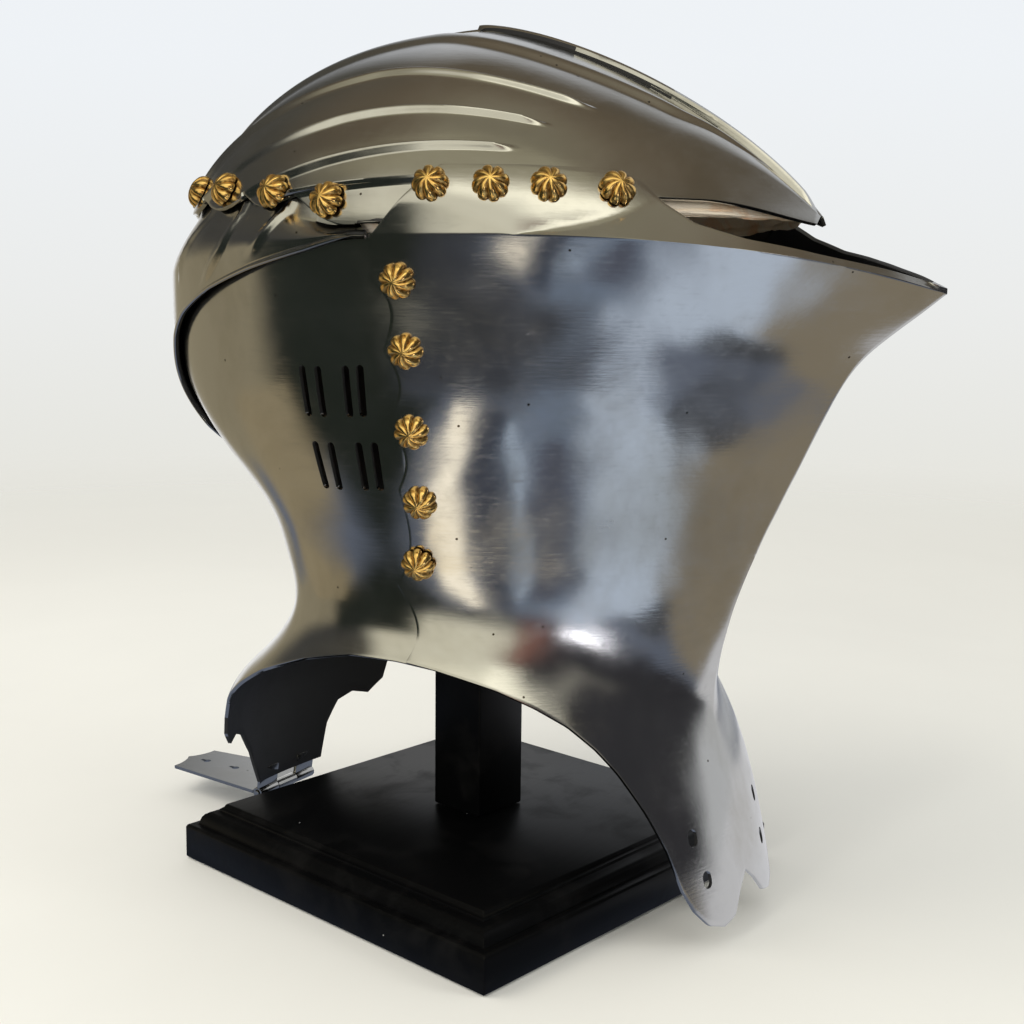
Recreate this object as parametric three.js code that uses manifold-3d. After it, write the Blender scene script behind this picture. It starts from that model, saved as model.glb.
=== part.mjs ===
// Frog-mouth helm on its display stand, in millimetres, +Z up.
// The helm faces -Y and its right side is -X. The origin is the middle of the stand's underside.
import * as THREE from 'three';
import { mergeVertices } from 'three/addons/utils/BufferGeometryUtils.js';
import Module from 'manifold-3d';

const wasm = await Module();
wasm.setup();

// Driving dimensions of the helm
const HEM_HEIGHT = 18;          // lowest level of the body plates above the floor
const BODY_HEIGHT = 333;        // from that level to the lip at the sides
const FRONT_REACH = 254;        // lip's prow tip forward of the post
const HALF_WIDTH = 150;         // lip's half width at the temples
const BACK_REACH = 181;         // back of the body plates behind the post
const SKULL_HEIGHT = 117;       // from the lip's level to the top of the crest
const BROW_SETBACK = 54;        // brow tip behind the prow tip, at the lip's level
const SKULL_FRONT = FRONT_REACH - BROW_SETBACK;
const SKULL_SIDE_INSET = 4;     // skull at the lip's level inside the lip, beside the face plate
const SKULL_HALF_WIDTH = HALF_WIDTH - SKULL_SIDE_INSET;
const SKULL_SPREAD = 5;         // how much wider the skull is where it laps over the nape plate
const SKULL_BACK_INSET = 16;    // back of the skull at the lip's level inside the body's back
const SKULL_BACK = BACK_REACH - SKULL_BACK_INSET;
const PLATE = 2;                // thickness of the steel plates
const LAP_GAP = 0.8;            // clearance between plates that lap
const FLANGE_RISE = 31;         // height of the face plate's upper flange over the lip
const FLUTE_RISE = 2.6;         // how far the skull's flutes stand out
const LINER_WALL = 2.5;         // thickness of the leather
const LINER_SAG = 8;            // how far the leather hangs clear of the crest
const LINER_STAND_OFF = 6.9;    // between the leather and the body's outer face, below the lip
const LINER_FRONT_RISE = 0.15;  // share of the skull's height at which the leather ends over the sight

// Driving dimensions of the rivets, holes and slots
const RIVET_DIAMETER = 17;
const RIVET_HEIGHT = 6.5;
const RIVET_SEAT = 0.3;         // from the plate's highest place under a rivet's head to the head
const SLOT_WIDTH = 4;
const SLOT_LENGTH = 25;
const CHEST_HOLE = 6.5;

// Driving dimensions of the hasp and its hinge
const HASP_LENGTH = 84;
const HASP_ROOT_WIDTH = 51;
const HASP_END_WIDTH = 37;
const HASP_THICKNESS = 2;
const HINGE_HEIGHT = 16;        // hinge axis above the floor
const HINGE_BACK = 148;         // hinge axis behind the post
const KNUCKLE_DIAMETER = 7;
const PIN_DIAMETER = 3;
const PIN_GAP = 0.35;           // clearance round the pin and between the knuckles
const HASP_HOLE = 5;

// Driving dimensions of the stand
const BASE_SIDE = 240;
const BASE_HEIGHT = 32;
const BASE_PLINTH = 20;         // height of the straight lower block
const BASE_TOP_SIDE = 206;
const POST_SIDE = 36;
const STAND_TURN = -10.8;       // degrees that the square stand is turned under the helm
const REST_DIAMETER = 64;
const REST_HEIGHT = 40;
const SEAT_GAP = 0.4;

const LIP_HEIGHT = HEM_HEIGHT + BODY_HEIGHT;
const LAYER = PLATE + LAP_GAP;
const FACET_GAP = 1.0;          // more clearance where flat facets of two lapping plates cross

// Rings of the body, from the lip down. Heights are shares of BODY_HEIGHT over the hem level at the
// front, side and back. Reaches are shares of FRONT_REACH, HALF_WIDTH and BACK_REACH. Roundness 1 is
// a sharp keel in front and 2 is round. Droop is how late the ring's height leaves that of its side.
const RINGS = [
  { front: 0.928, side: 1.000, back: 0.955, fore: 1.000, wide: 1.000, aft: 0.977, round: 1.00, droop: 4.3 },
  { front: 0.862, side: 0.937, back: 0.901, fore: 0.890, wide: 0.980, aft: 0.994, round: 1.00, droop: 3.4 },
  { front: 0.802, side: 0.871, back: 0.847, fore: 0.819, wide: 0.967, aft: 1.000, round: 1.00, droop: 2.6 },
  { front: 0.706, side: 0.772, back: 0.772, fore: 0.756, wide: 0.933, aft: 0.989, round: 1.00, droop: 2.0 },
  { front: 0.598, side: 0.667, back: 0.682, fore: 0.689, wide: 0.873, aft: 0.853, round: 1.00, droop: 2.0 },
  { front: 0.498, side: 0.571, back: 0.592, fore: 0.634, wide: 0.800, aft: 0.672, round: 1.05, droop: 2.0 },
  { front: 0.411, side: 0.492, back: 0.502, fore: 0.598, wide: 0.747, aft: 0.605, round: 1.15, droop: 2.0 },
  { front: 0.321, side: 0.426, back: 0.411, fore: 0.575, wide: 0.753, aft: 0.565, round: 1.35, droop: 2.0 },
  { front: 0.246, side: 0.366, back: 0.321, fore: 0.583, wide: 0.827, aft: 0.667, round: 1.60, droop: 2.0 },
  { front: 0.141, side: 0.261, back: 0.216, fore: 0.622, wide: 0.933, aft: 0.831, round: 1.90, droop: 2.0 },
  { front: 0.000, side: 0.066, back: 0.006, fore: 0.669, wide: 1.000, aft: 0.825, round: 2.00, droop: 2.0 },
];
const PROW_POWER = 2.0;         // 1 would make the prow's plan straight-sided

// Edges on the body, as places round it (0 front, 1 side, 2 back) and down it (0 lip, 1 last ring)
const CHEST_HEM = [
  { around: 0.000, down: 0.975 }, { around: 0.045, down: 0.990 }, { around: 0.090, down: 1.012 },
  { around: 0.140, down: 1.018 }, { around: 0.190, down: 1.012 }, { around: 0.230, down: 0.995 },
  { around: 0.256, down: 0.975 }, { around: 0.284, down: 0.935 }, { around: 0.323, down: 0.899 },
  { around: 0.374, down: 0.858 }, { around: 0.415, down: 0.834 }, { around: 0.472, down: 0.810 },
  { around: 0.542, down: 0.793 }, { around: 0.632, down: 0.778 }, { around: 0.778, down: 0.766 },
  { around: 0.880, down: 0.762 },
];
const BACK_HEM = [
  { around: 0.740, down: 0.764 }, { around: 0.880, down: 0.762 }, { around: 1.013, down: 0.767 },
  { around: 1.183, down: 0.792 }, { around: 1.365, down: 0.832 }, { around: 1.470, down: 0.866 },
  { around: 1.530, down: 0.884 }, { around: 1.560, down: 0.890 }, { around: 1.610, down: 0.905 },
  { around: 1.640, down: 0.938 }, { around: 1.690, down: 0.950 }, { around: 1.740, down: 0.945 },
  { around: 1.790, down: 0.950 }, { around: 1.835, down: 0.968 }, { around: 1.870, down: 0.995 },
  { around: 2.000, down: 0.995 },
];
const SEAM_CUSPS = [
  { down: 0.000, around: 0.874 }, { down: 0.092, around: 0.862 }, { down: 0.231, around: 0.820 },
  { down: 0.326, around: 0.816 }, { down: 0.420, around: 0.804 }, { down: 0.593, around: 0.866 },
  { down: 0.762, around: 0.848 },
];
const SEAM_SCALLOP = 0.035;
const SEAM_LAP = 0.775;         // where the back plate ends under the face plate
const NAPE_EDGE = [
  { around: 0.890, down: 0.004 }, { around: 0.997, down: 0.034 }, { around: 1.128, down: 0.069 },
  { around: 1.265, down: 0.110 }, { around: 1.415, down: 0.165 }, { around: 1.520, down: 0.215 },
  { around: 1.600, down: 0.290 }, { around: 1.660, down: 0.380 }, { around: 1.740, down: 0.425 },
  { around: 1.860, down: 0.440 }, { around: 2.000, down: 0.445 },
];
const FLANGE_EDGE = [
  { fore: 0.240, rise: 1.00 }, { fore: 0.500, rise: 1.00 }, { fore: 0.540, rise: 0.84 },
  { fore: 0.575, rise: 0.58 }, { fore: 0.640, rise: 0.30 }, { fore: 0.720, rise: 0.15 },
  { fore: 0.820, rise: 0.10 }, { fore: 1.000, rise: 0.08 },
];
const FLANGE_LEAN = 1.25;       // the free part of the flange goes in this much for each rise
const FLANGE_REAR_LOW = 0.858;  // the flange's rear edge, at the lip and at its top
const FLANGE_REAR_HIGH = 0.750;

// Rivets of the seam and of the skull's edge, on the right side
const SEAM_RIVETS = [
  { around: 0.796, down: 0.099 }, { around: 0.767, down: 0.229 }, { around: 0.755, down: 0.336 },
  { around: 0.748, down: 0.436 }, { around: 0.784, down: 0.542 },
];
const FLANGE_RIVETS = [
  { around: 0.675, up: 0.17 }, { around: 0.547, up: 0.17 }, { around: 0.436, up: 0.17 }, { around: 0.318, up: 0.16 },
];
const NAPE_RIVETS = [
  { around: 0.945, up: 0.128 }, { around: 1.086, up: 0.168 }, { around: 1.260, up: 0.195 }, { around: 1.450, up: 0.210 },
  { around: 1.660, up: 0.220 }, { around: 1.885, up: 0.225 },
];

// Breathing slots of the back plate, on the right side
const SLOTS = [
  { around: 1.040, down: 0.293 }, { around: 1.006, down: 0.293 }, { around: 0.926, down: 0.291 },
  { around: 0.886, down: 0.289 }, { around: 1.040, down: 0.398 }, { around: 1.002, down: 0.398 },
  { around: 0.911, down: 0.395 }, { around: 0.863, down: 0.393 },
];
const CHEST_HOLES = [{ around: 0.196, down: 0.925 }, { around: 0.172, down: 0.968 }];

// Flutes of the skull: the row that each follows over the dome, the place round the rear edge where
// it starts, at a cusp, how far along it fades out in front, and its half width as a share of the
// rows. The last one is the crest.
const FLUTES = [
  { row: 0.20, from: 1.045, front: 0.44, half: 0.016 }, { row: 0.32, from: 1.175, front: 0.56, half: 0.014 },
  { row: 0.43, from: 1.365, front: 0.65, half: 0.012 }, { row: 0.56, from: 1.560, front: 0.72, half: 0.013 },
  { row: 0.76, from: 1.770, front: 0.97, half: 0.035 }, { row: 1.00, from: 2.000, front: 1.20, half: 0 },
];
const FLUTE_REACH = 0.65;       // share of the way forward on which the flutes still climb
const SKULL_EDGE_FROM = 0.84;   // where the skull's rear edge comes out from under the flange
const SKULL_EDGE_RISE = 20;     // height of the rear edge's cusps over the lip
const SKULL_EDGE_START = 5;     // height of the rear edge beside the flange
const SCALLOP_DEPTH = 6.5;

// Colours
const finish = (color, roughness, metalness) => new THREE.MeshStandardMaterial({ color, roughness, metalness });
const STEEL = finish(0x8d8c86, 0.25, 1);
const BRASS = finish(0xc08a35, 0.3, 1);
const LEATHER = finish(0xb9814f, 0.8, 0);
const BLACK_WOOD = finish(0x141313, 0.45, 0);

// Small helpers
const clamp = (x, low, high) => Math.min(high, Math.max(low, x));
const mix = (a, b, share) => a + (b - a) * share;
const ease = (x) => clamp(x, 0, 1) ** 2 * (3 - 2 * clamp(x, 0, 1));
const steps = (from, to, count) => Array.from({ length: count + 1 }, (_, i) => mix(from, to, i / count));

// Value of one column of a table at a place in another column, on a straight line between rows
function lookUp(table, key, value, place) {
  const last = table.length - 1;
  let row = 0;
  while (row < last - 1 && place > table[row + 1][key]) row += 1;
  const share = (place - table[row][key]) / (table[row + 1][key] - table[row][key]);
  return mix(table[row][value], table[row + 1][value], clamp(share, 0, 1));
}

// Smooth value of a ring column at a place down the body
function ringValue(name, down) {
  const last = RINGS.length - 1;
  const place = down * last;
  const row = clamp(Math.floor(place), 0, last - 1);
  const share = place - row;
  const b = RINGS[row][name];
  const c = RINGS[row + 1][name];
  const a = row > 0 ? RINGS[row - 1][name] : 2 * b - c;
  const d = row < last - 1 ? RINGS[row + 2][name] : 2 * c - b;
  if (share > 1) return c + (c - b) * (share - 1);
  return 0.5 * (2 * b + (c - a) * share + (2 * a - 5 * b + 4 * c - d) * share ** 2
    + (3 * b - a - 3 * c + d) * share ** 3);
}

// Point of the body's outer face. Places from 2 to 4 round it run along the left side to the front.
function bodyPoint(around, down) {
  const side = around > 2 ? 1 : -1;
  const place = around > 2 ? 4 - around : around;
  const height = (name) => HEM_HEIGHT + BODY_HEIGHT * ringValue(name, down);
  const sideHeight = height('side');
  const half = HALF_WIDTH * ringValue('wide', down);
  if (place <= 1) {
    const round = ringValue('round', down);
    const fore = 1 - Math.max(place, 0) ** round;
    const wide = Math.max(0, 1 - fore ** PROW_POWER) ** (1 / round);
    const z = mix(sideHeight, height('front'), fore ** ringValue('droop', down));
    return new THREE.Vector3(side * half * wide, -FRONT_REACH * ringValue('fore', down) * fore, z);
  }
  const turn = (place - 1) * Math.PI / 2;
  const z = mix(sideHeight, height('back'), Math.sin(turn) ** 2);
  return new THREE.Vector3(side * half * Math.cos(turn), BACK_REACH * ringValue('aft', down) * Math.sin(turn), z);
}

// Shares of the skull's reaches that are left at a height over the lip's level (0 lip, 1 crest)
const DOME = {
  fore: { power: 1.4, root: 0.72 }, wide: { power: 1.9, root: 0.75 }, aft: { power: 1.3, root: 0.40 },
};
const domeShare = (name, up) => Math.max(0, 1 - up ** DOME[name].power) ** DOME[name].root;
const domeTop = (name, reach) => (1 - clamp(reach, 0, 1) ** (1 / DOME[name].root)) ** (1 / DOME[name].power);
const DOME_PROW_POWER = 2.6;

// Highest share that the dome reaches at a place along Y
const crestUp = (y) => (y < 0 ? domeTop('fore', -y / SKULL_FRONT) : domeTop('aft', y / SKULL_BACK));

// The skull's half width at the lip's level, a little more where it laps over the nape plate
const sideHalf = (y) => SKULL_HALF_WIDTH + SKULL_SPREAD * ease((y / SKULL_BACK + 0.27) / 0.5);

// Half width of the skull's outer face at a place along Y and a share of its height
function domeHalf(y, up) {
  const half = sideHalf(y) * domeShare('wide', up);
  if (y < 0) return half * Math.max(0, 1 - (-y / (SKULL_FRONT * domeShare('fore', up) + 1e-9)) ** DOME_PROW_POWER);
  return half * Math.sqrt(Math.max(0, 1 - (y / (SKULL_BACK * domeShare('aft', up) + 1e-9)) ** 2));
}

// Point of the skull's outer face. The climb is 0 at the lip's level and 1 on the crest.
function domePoint(y, climb, side) {
  const up = crestUp(y) * Math.sin(clamp(climb, 0, 1) * Math.PI / 2);
  return new THREE.Vector3(side * domeHalf(y, up), y, LIP_HEIGHT + SKULL_HEIGHT * up);
}
const climbAt = (y, rise) => Math.asin(clamp(rise / (SKULL_HEIGHT * crestUp(y)), 0, 1)) * 2 / Math.PI;

// Point of the skull's outer face by its place round (0 front, 1 side, 2 back, on to 4) and its
// share of the skull's height
function domeRing(around, up) {
  const side = around > 2 ? 1 : -1;
  const place = around > 2 ? 4 - around : around;
  const z = LIP_HEIGHT + SKULL_HEIGHT * up;
  if (place < 1) {
    const y = -SKULL_FRONT * domeShare('fore', up) * (1 - place);
    return new THREE.Vector3(side * domeHalf(y, up), y, z);
  }
  const turn = (place - 1) * Math.PI / 2;
  const y = SKULL_BACK * domeShare('aft', up) * Math.sin(turn);
  return new THREE.Vector3(side * sideHalf(y) * domeShare('wide', up) * Math.cos(turn), y, z);
}

// Unit normal of a surface given by a function of two places, away from the post's axis
const NUDGE = 0.004;
function normalOf(surface, a, b) {
  const alongA = surface(a + NUDGE, b).sub(surface(a - NUDGE, b));
  const alongB = surface(a, b + NUDGE).sub(surface(a, b - NUDGE));
  const normal = alongA.cross(alongB).normalize();
  const point = surface(a, b);
  const away = new THREE.Vector3(point.x, point.y, Math.max(0, point.z - LIP_HEIGHT));
  return normal.dot(away) < 0 ? normal.negate() : normal;
}
const raised = (surface, a, b, lift) => surface(a, b).addScaledVector(normalOf(surface, a, b), lift);

// Closed geometry from vertices and quads, welded, with its faces turned out
function closedGeometry(points, triangles) {
  let geometry = new THREE.BufferGeometry().setFromPoints(points);
  geometry.setIndex(triangles.flat());
  geometry = mergeVertices(geometry, 1e-3);
  const index = Array.from(geometry.index.array);
  const kept = [];
  for (let i = 0; i < index.length; i += 3) {
    const [a, b, c] = index.slice(i, i + 3);
    if (a !== b && b !== c && a !== c) kept.push([a, b, c]);
  }
  const at = (i) => new THREE.Vector3().fromBufferAttribute(geometry.attributes.position, i);
  const volume = kept.reduce((sum, [a, b, c]) => sum + at(a).dot(at(b).cross(at(c))), 0);
  geometry.setIndex((volume < 0 ? kept.map(([a, b, c]) => [a, c, b]) : kept).flat());
  return geometry;
}

// A plate between an outer and an inner grid of points, closed along its four edges
function plateGeometry(outer, inner, isRing = false) {
  const columns = outer.length;
  const rows = outer[0].length;
  const points = [...outer.flat(), ...inner.flat()];
  const out = (i, j) => i * rows + j;
  const within = (i, j) => columns * rows + i * rows + j;
  const triangles = [];
  const quad = (a, b, c, d) => triangles.push([a, b, c], [a, c, d]);
  for (let i = 0; i < columns - 1; i += 1) {
    for (let j = 0; j < rows - 1; j += 1) {
      quad(out(i, j), out(i + 1, j), out(i + 1, j + 1), out(i, j + 1));
      quad(within(i, j), within(i, j + 1), within(i + 1, j + 1), within(i + 1, j));
    }
    quad(out(i, 0), within(i, 0), within(i + 1, 0), out(i + 1, 0));
    quad(out(i, rows - 1), out(i + 1, rows - 1), within(i + 1, rows - 1), within(i, rows - 1));
  }
  for (let j = 0; j < rows - 1 && !isRing; j += 1) {
    quad(out(0, j), out(0, j + 1), within(0, j + 1), within(0, j));
    quad(out(columns - 1, j), within(columns - 1, j), within(columns - 1, j + 1), out(columns - 1, j + 1));
  }
  return closedGeometry(points, triangles);
}

// Joining and cutting
function toSolid(geometry) {
  const bare = geometry.clone();
  bare.deleteAttribute('normal');
  bare.deleteAttribute('uv');
  const welded = mergeVertices(bare, 1e-4);
  return new wasm.Manifold(new wasm.Mesh({
    numProp: 3,
    vertProperties: new Float32Array(welded.attributes.position.array),
    triVerts: new Uint32Array(welded.index.array),
  }));
}
function fromSolid(solid) {
  const mesh = solid.getMesh();
  const geometry = new THREE.BufferGeometry();
  geometry.setAttribute('position', new THREE.BufferAttribute(new Float32Array(mesh.vertProperties), 3));
  geometry.setIndex(new THREE.BufferAttribute(new Uint32Array(mesh.triVerts), 1));
  return geometry;
}
const cut = (body, tools) => fromSolid(tools.reduce((solid, tool) => solid.subtract(toSolid(tool)), toSolid(body)));
const join = (body, others) => fromSolid(others.reduce((solid, other) => solid.add(toSolid(other)), toSolid(body)));

// Where the seam's edge runs: cusps joined by shallow scallops
function seamAt(down) {
  const last = SEAM_CUSPS.length - 1;
  let row = 0;
  while (row < last - 1 && down > SEAM_CUSPS[row + 1].down) row += 1;
  const [from, to] = [SEAM_CUSPS[row], SEAM_CUSPS[row + 1]];
  const share = clamp((down - from.down) / (to.down - from.down), 0, 1);
  const bite = row === 0 ? 0.3 : 1;
  return mix(from.around, to.around, share) - bite * SEAM_SCALLOP * Math.sin(Math.PI * share);
}

// The face plate's flange, from its top edge (0) to the lip (1), at a place round the front
function flangePoint(around, low) {
  const place = around > 2 ? 4 - around : around;
  const side = around > 2 ? 1 : -1;
  const lip = bodyPoint(around, 0);
  const fore = -lip.y / FRONT_REACH;
  const rise = FLANGE_RISE * lookUp(FLANGE_EDGE, 'fore', 'rise', fore);
  const lift = rise * (1 - low);
  const onDome = domeHalf(lip.y, clamp((lip.z + lift - LIP_HEIGHT) / SKULL_HEIGHT, 0, 1)) + LAYER + FACET_GAP * 1.6;
  const leaning = Math.abs(lip.x) - FLANGE_LEAN * lift;
  const half = clamp(Math.max(onDome, leaning), 0, Math.abs(lip.x));
  return new THREE.Vector3(place === 0 ? 0 : side * half, lip.y, lip.z + lift);
}

const BODY_ROWS = 10;
function facePlate() {
  const wallRows = steps(0, 1, BODY_ROWS).slice(1);
  const flangeRows = [0, 0.33, 0.67, 1];
  const columns = [-1, -0.93, -0.86, -0.78, -0.69, -0.6, -0.51, -0.43, -0.37, -0.31, -0.26, -0.21, -0.16, -0.1,
    -0.05, 0, 0.05, 0.1, 0.16, 0.21, 0.26, 0.31, 0.37, 0.43, 0.51, 0.6, 0.69, 0.78, 0.86, 0.93, 1];
  const place = (column, end) => (column < 0 ? -column * end : 4 - column * end);
  const surface = (column, row) => {
    if (row <= 1) {
      const end = mix(FLANGE_REAR_HIGH, FLANGE_REAR_LOW, row);
      return flangePoint(place(column, end), row);
    }
    const hem = (end) => lookUp(CHEST_HEM, 'around', 'down', Math.abs(column) * end);
    const guess = (row - 1) * hem(seamAt(0.5));
    const end = seamAt((row - 1) * hem(seamAt(guess)));
    const around = Math.abs(column) * end;
    const down = (row - 1) * lookUp(CHEST_HEM, 'around', 'down', around);
    return bodyPoint(column < 0 ? around : 4 - around, down);
  };
  const rows = [...flangeRows, ...wallRows.map((share) => 1 + share)];
  const outer = columns.map((a) => rows.map((b) => {
    const point = surface(a, b);
    return a === 0 ? point.setX(0) : point;
  }));
  const inward = (a, b) => {
    const low = Math.max(b === 0 ? 0 : b - 0.05, 0);
    const high = b === 2 ? 2 : b + 0.05;
    const left = Math.max(a - 0.02, -1);
    const right = Math.min(a + 0.02, 1);
    const alongRow = surface(a || 1e-6, high).sub(surface(a || 1e-6, low));
    const alongColumn = a === 0
      ? new THREE.Vector3(1, 0, 0) : surface(right, b).sub(surface(left, b));
    const normal = alongRow.cross(alongColumn).normalize();
    const point = surface(a || 1e-6, b);
    return normal.dot(new THREE.Vector3(point.x, point.y, 0)) > 0 ? normal.negate() : normal;
  };
  const inner = columns.map((a, i) => rows.map((b, j) => {
    const point = outer[i][j].clone().addScaledVector(inward(a, b), PLATE);
    return a === 0 ? point.setX(0) : point;
  }));
  const holes = [0, 1].flatMap((left) => CHEST_HOLES.map(({ around, down }) => (
    roundCutter(left ? 4 - around : around, down, CHEST_HOLE))));
  return cut(plateGeometry(outer, inner), holes);
}

// A straight cutter through a body plate at a place on it, with its length axis across the plate
function placedThrough(geometry, around, down) {
  const point = bodyPoint(around, down);
  const normal = normalOf(bodyPoint, around, down);
  const upward = bodyPoint(around, down - 0.02).sub(bodyPoint(around, down + 0.02)).normalize();
  const sideways = new THREE.Vector3().crossVectors(upward, normal).normalize();
  const frame = new THREE.Matrix4().makeBasis(sideways, upward, normal).setPosition(point);
  return geometry.applyMatrix4(frame);
}
function roundCutter(around, down, diameter) {
  const drill = new THREE.CylinderGeometry(diameter / 2, diameter / 2, PLATE * 12, 10);
  drill.rotateX(Math.PI / 2);
  return placedThrough(drill, around, down);
}
function slotCutter(around, down) {
  const radius = SLOT_WIDTH / 2;
  const straight = SLOT_LENGTH / 2 - radius;
  const outline = new THREE.Shape();
  outline.absarc(0, straight, radius, 0, Math.PI, false);
  outline.absarc(0, -straight, radius, Math.PI, 2 * Math.PI, false);
  outline.closePath();
  const depth = PLATE * 8;
  const tool = new THREE.ExtrudeGeometry(outline, { depth, bevelEnabled: false, curveSegments: 2 });
  tool.translate(0, 0, -depth / 2);
  return placedThrough(tool, around, down);
}

// Tube along X for the hinge, as a closed ring
function knuckle(from, to) {
  const outer = KNUCKLE_DIAMETER / 2;
  const inner = PIN_DIAMETER / 2 + PIN_GAP;
  const profile = [[inner, from], [outer, from], [outer, to], [inner, to], [inner, from]];
  const ring = new THREE.LatheGeometry(profile.map(([r, h]) => new THREE.Vector2(r, h)), 14);
  ring.rotateZ(-Math.PI / 2);
  return ring.translate(0, HINGE_BACK, HINGE_HEIGHT);
}
const KNUCKLE_SPLIT = HASP_ROOT_WIDTH / 6;

function backPlate() {
  const half = [SEAM_LAP, 0.85, 0.93, 1.01, 1.1, 1.2, 1.3, 1.39, 1.47, 1.53, 1.61, 1.64, 1.7, 1.79, 1.84, 1.87];
  const columns = [...half, 2, ...half.map((around) => 4 - around).reverse()];
  const rows = steps(0, 1, BODY_ROWS);
  const lowered = (around, down) => raised(bodyPoint, around, down, -LAYER);
  const place = (around, share) => share * lookUp(BACK_HEM, 'around', 'down', around > 2 ? 4 - around : around);
  const outer = columns.map((a) => rows.map((b) => lowered(a, place(a, b))));
  const inner = columns.map((a) => rows.map((b) => raised(bodyPoint, a, place(a, b), -LAYER - PLATE)));
  const plate = plateGeometry(outer, inner);
  const slots = SLOTS.flatMap(({ around, down }) => [slotCutter(around, down), slotCutter(4 - around, down)]);
  const edge = bodyPoint(2, lookUp(BACK_HEM, 'around', 'down', 2));
  const root = HASP_ROOT_WIDTH / 2;
  const tabTop = edge.z + 8;
  const tabBack = edge.y - LAYER;
  const tab = new THREE.Shape([
    new THREE.Vector2(tabBack - PLATE * 1.6, tabTop), new THREE.Vector2(tabBack, tabTop),
    new THREE.Vector2(HINGE_BACK + 1, HINGE_HEIGHT + KNUCKLE_DIAMETER * 0.42),
    new THREE.Vector2(HINGE_BACK - 2, HINGE_HEIGHT + KNUCKLE_DIAMETER * 0.3),
  ]);
  const parts = [-1, 1].flatMap((side) => {
    const from = side < 0 ? -root : KNUCKLE_SPLIT + PIN_GAP;
    const to = side < 0 ? -KNUCKLE_SPLIT - PIN_GAP : root;
    const leaf = new THREE.ExtrudeGeometry(tab, { depth: to - from, bevelEnabled: false });
    leaf.applyMatrix4(new THREE.Matrix4().makeBasis(
      new THREE.Vector3(0, 1, 0), new THREE.Vector3(0, 0, 1), new THREE.Vector3(1, 0, 0)));
    leaf.translate(from, 0, 0);
    return [leaf, knuckle(from, to)];
  });
  return join(cut(plate, slots), parts);
}

// The nape plate lies under the skull's edge above the lip's level and over the back plate below it
function napePlate() {
  const top = 0.28;
  const half = [0.89, 0.95, 1.02, 1.1, 1.19, 1.28, 1.37, 1.45, 1.52, 1.58, 1.63, 1.68, 1.75, 1.86];
  const columns = [...half, 2, ...half.map((around) => 4 - around).reverse()];
  const below = 6;
  const edge = (around) => lookUp(NAPE_EDGE, 'around', 'down', around > 2 ? 4 - around : around);
  const grid = (lift) => columns.map((around) => {
    const shoulder = mix(0.04, 0.105, ease((Math.min(around, 4 - around) - 0.93) / 0.16));
    const upper = [top, shoulder].map((up) => raised(domeRing, around, up, lift - LAYER - FACET_GAP));
    const lower = steps(0, 1, below).map(
      (share) => raised(bodyPoint, around, share * edge(around), lift + FACET_GAP * 1.8));
    return [...upper, upper[1].clone().lerp(lower[0], 0.5), ...lower];
  });
  return plateGeometry(grid(0), grid(-PLATE));
}

// Lines over the dome from the skull's rear edge (along 0) to the brow (along 1), fanning like its
// flutes. Row 0 is the side edge and row 1 the crest.
const SKULL_ROWS = [{ row: 0, from: SKULL_EDGE_FROM }, ...FLUTES];
function skullEdge(row) {
  const next = SKULL_ROWS.findIndex((flute) => row <= flute.row);
  const [a, b] = next <= 0 ? SKULL_ROWS : [SKULL_ROWS[next - 1], SKULL_ROWS[next]];
  const share = (row - a.row) / (b.row - a.row);
  const cusp = next <= 1 ? mix(SKULL_EDGE_START, SKULL_EDGE_RISE, share) : SKULL_EDGE_RISE;
  return { around: mix(a.from, b.from, share), rise: cusp - SCALLOP_DEPTH * Math.sin(Math.PI * share) };
}
// Height of the skull's lower edge over the lip: under the flange, over the sight and its dip to the
// brow's tip, as shares of the skull's height
const BROW_LOW = 0.06;
const BROW_HIGH = 0.15;
const BROW_DIP = 0.094;
function browRise(y) {
  const fore = -y / SKULL_FRONT;
  const high = mix(BROW_LOW, BROW_HIGH, ease((fore - 0.62) / 0.1));
  return SKULL_HEIGHT * (high - BROW_DIP * ease((fore - 0.78) / 0.25));
}
function skullPoint(row, along, side) {
  const edge = skullEdge(row);
  const start = domeRing(edge.around, edge.rise / SKULL_HEIGHT).y;
  const end = -SKULL_FRONT * 0.965;
  const y = mix(start, end, along);
  const settled = 1 - (1 - clamp(along / FLUTE_REACH, 0, 1)) ** mix(1.1, 3.0, row);
  const climbFront = mix(climbAt(y, browRise(y)), 1, row);
  const climbRear = climbAt(start, edge.rise);
  const climb = row === 1 ? 1 : mix(climbRear, climbFront, settled);
  return domePoint(y, climb, side);
}
function fluteLift(row, along) {
  return FLUTES.slice(0, -1).reduce((sum, flute) => {
    const across = Math.abs(row - flute.row) / flute.half;
    const ridge = across >= 1 ? 0 : (1 - across) ** 1.5;
    return sum + FLUTE_RISE * ridge * ease((flute.front - along) / 0.12);
  }, 0);
}

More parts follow.
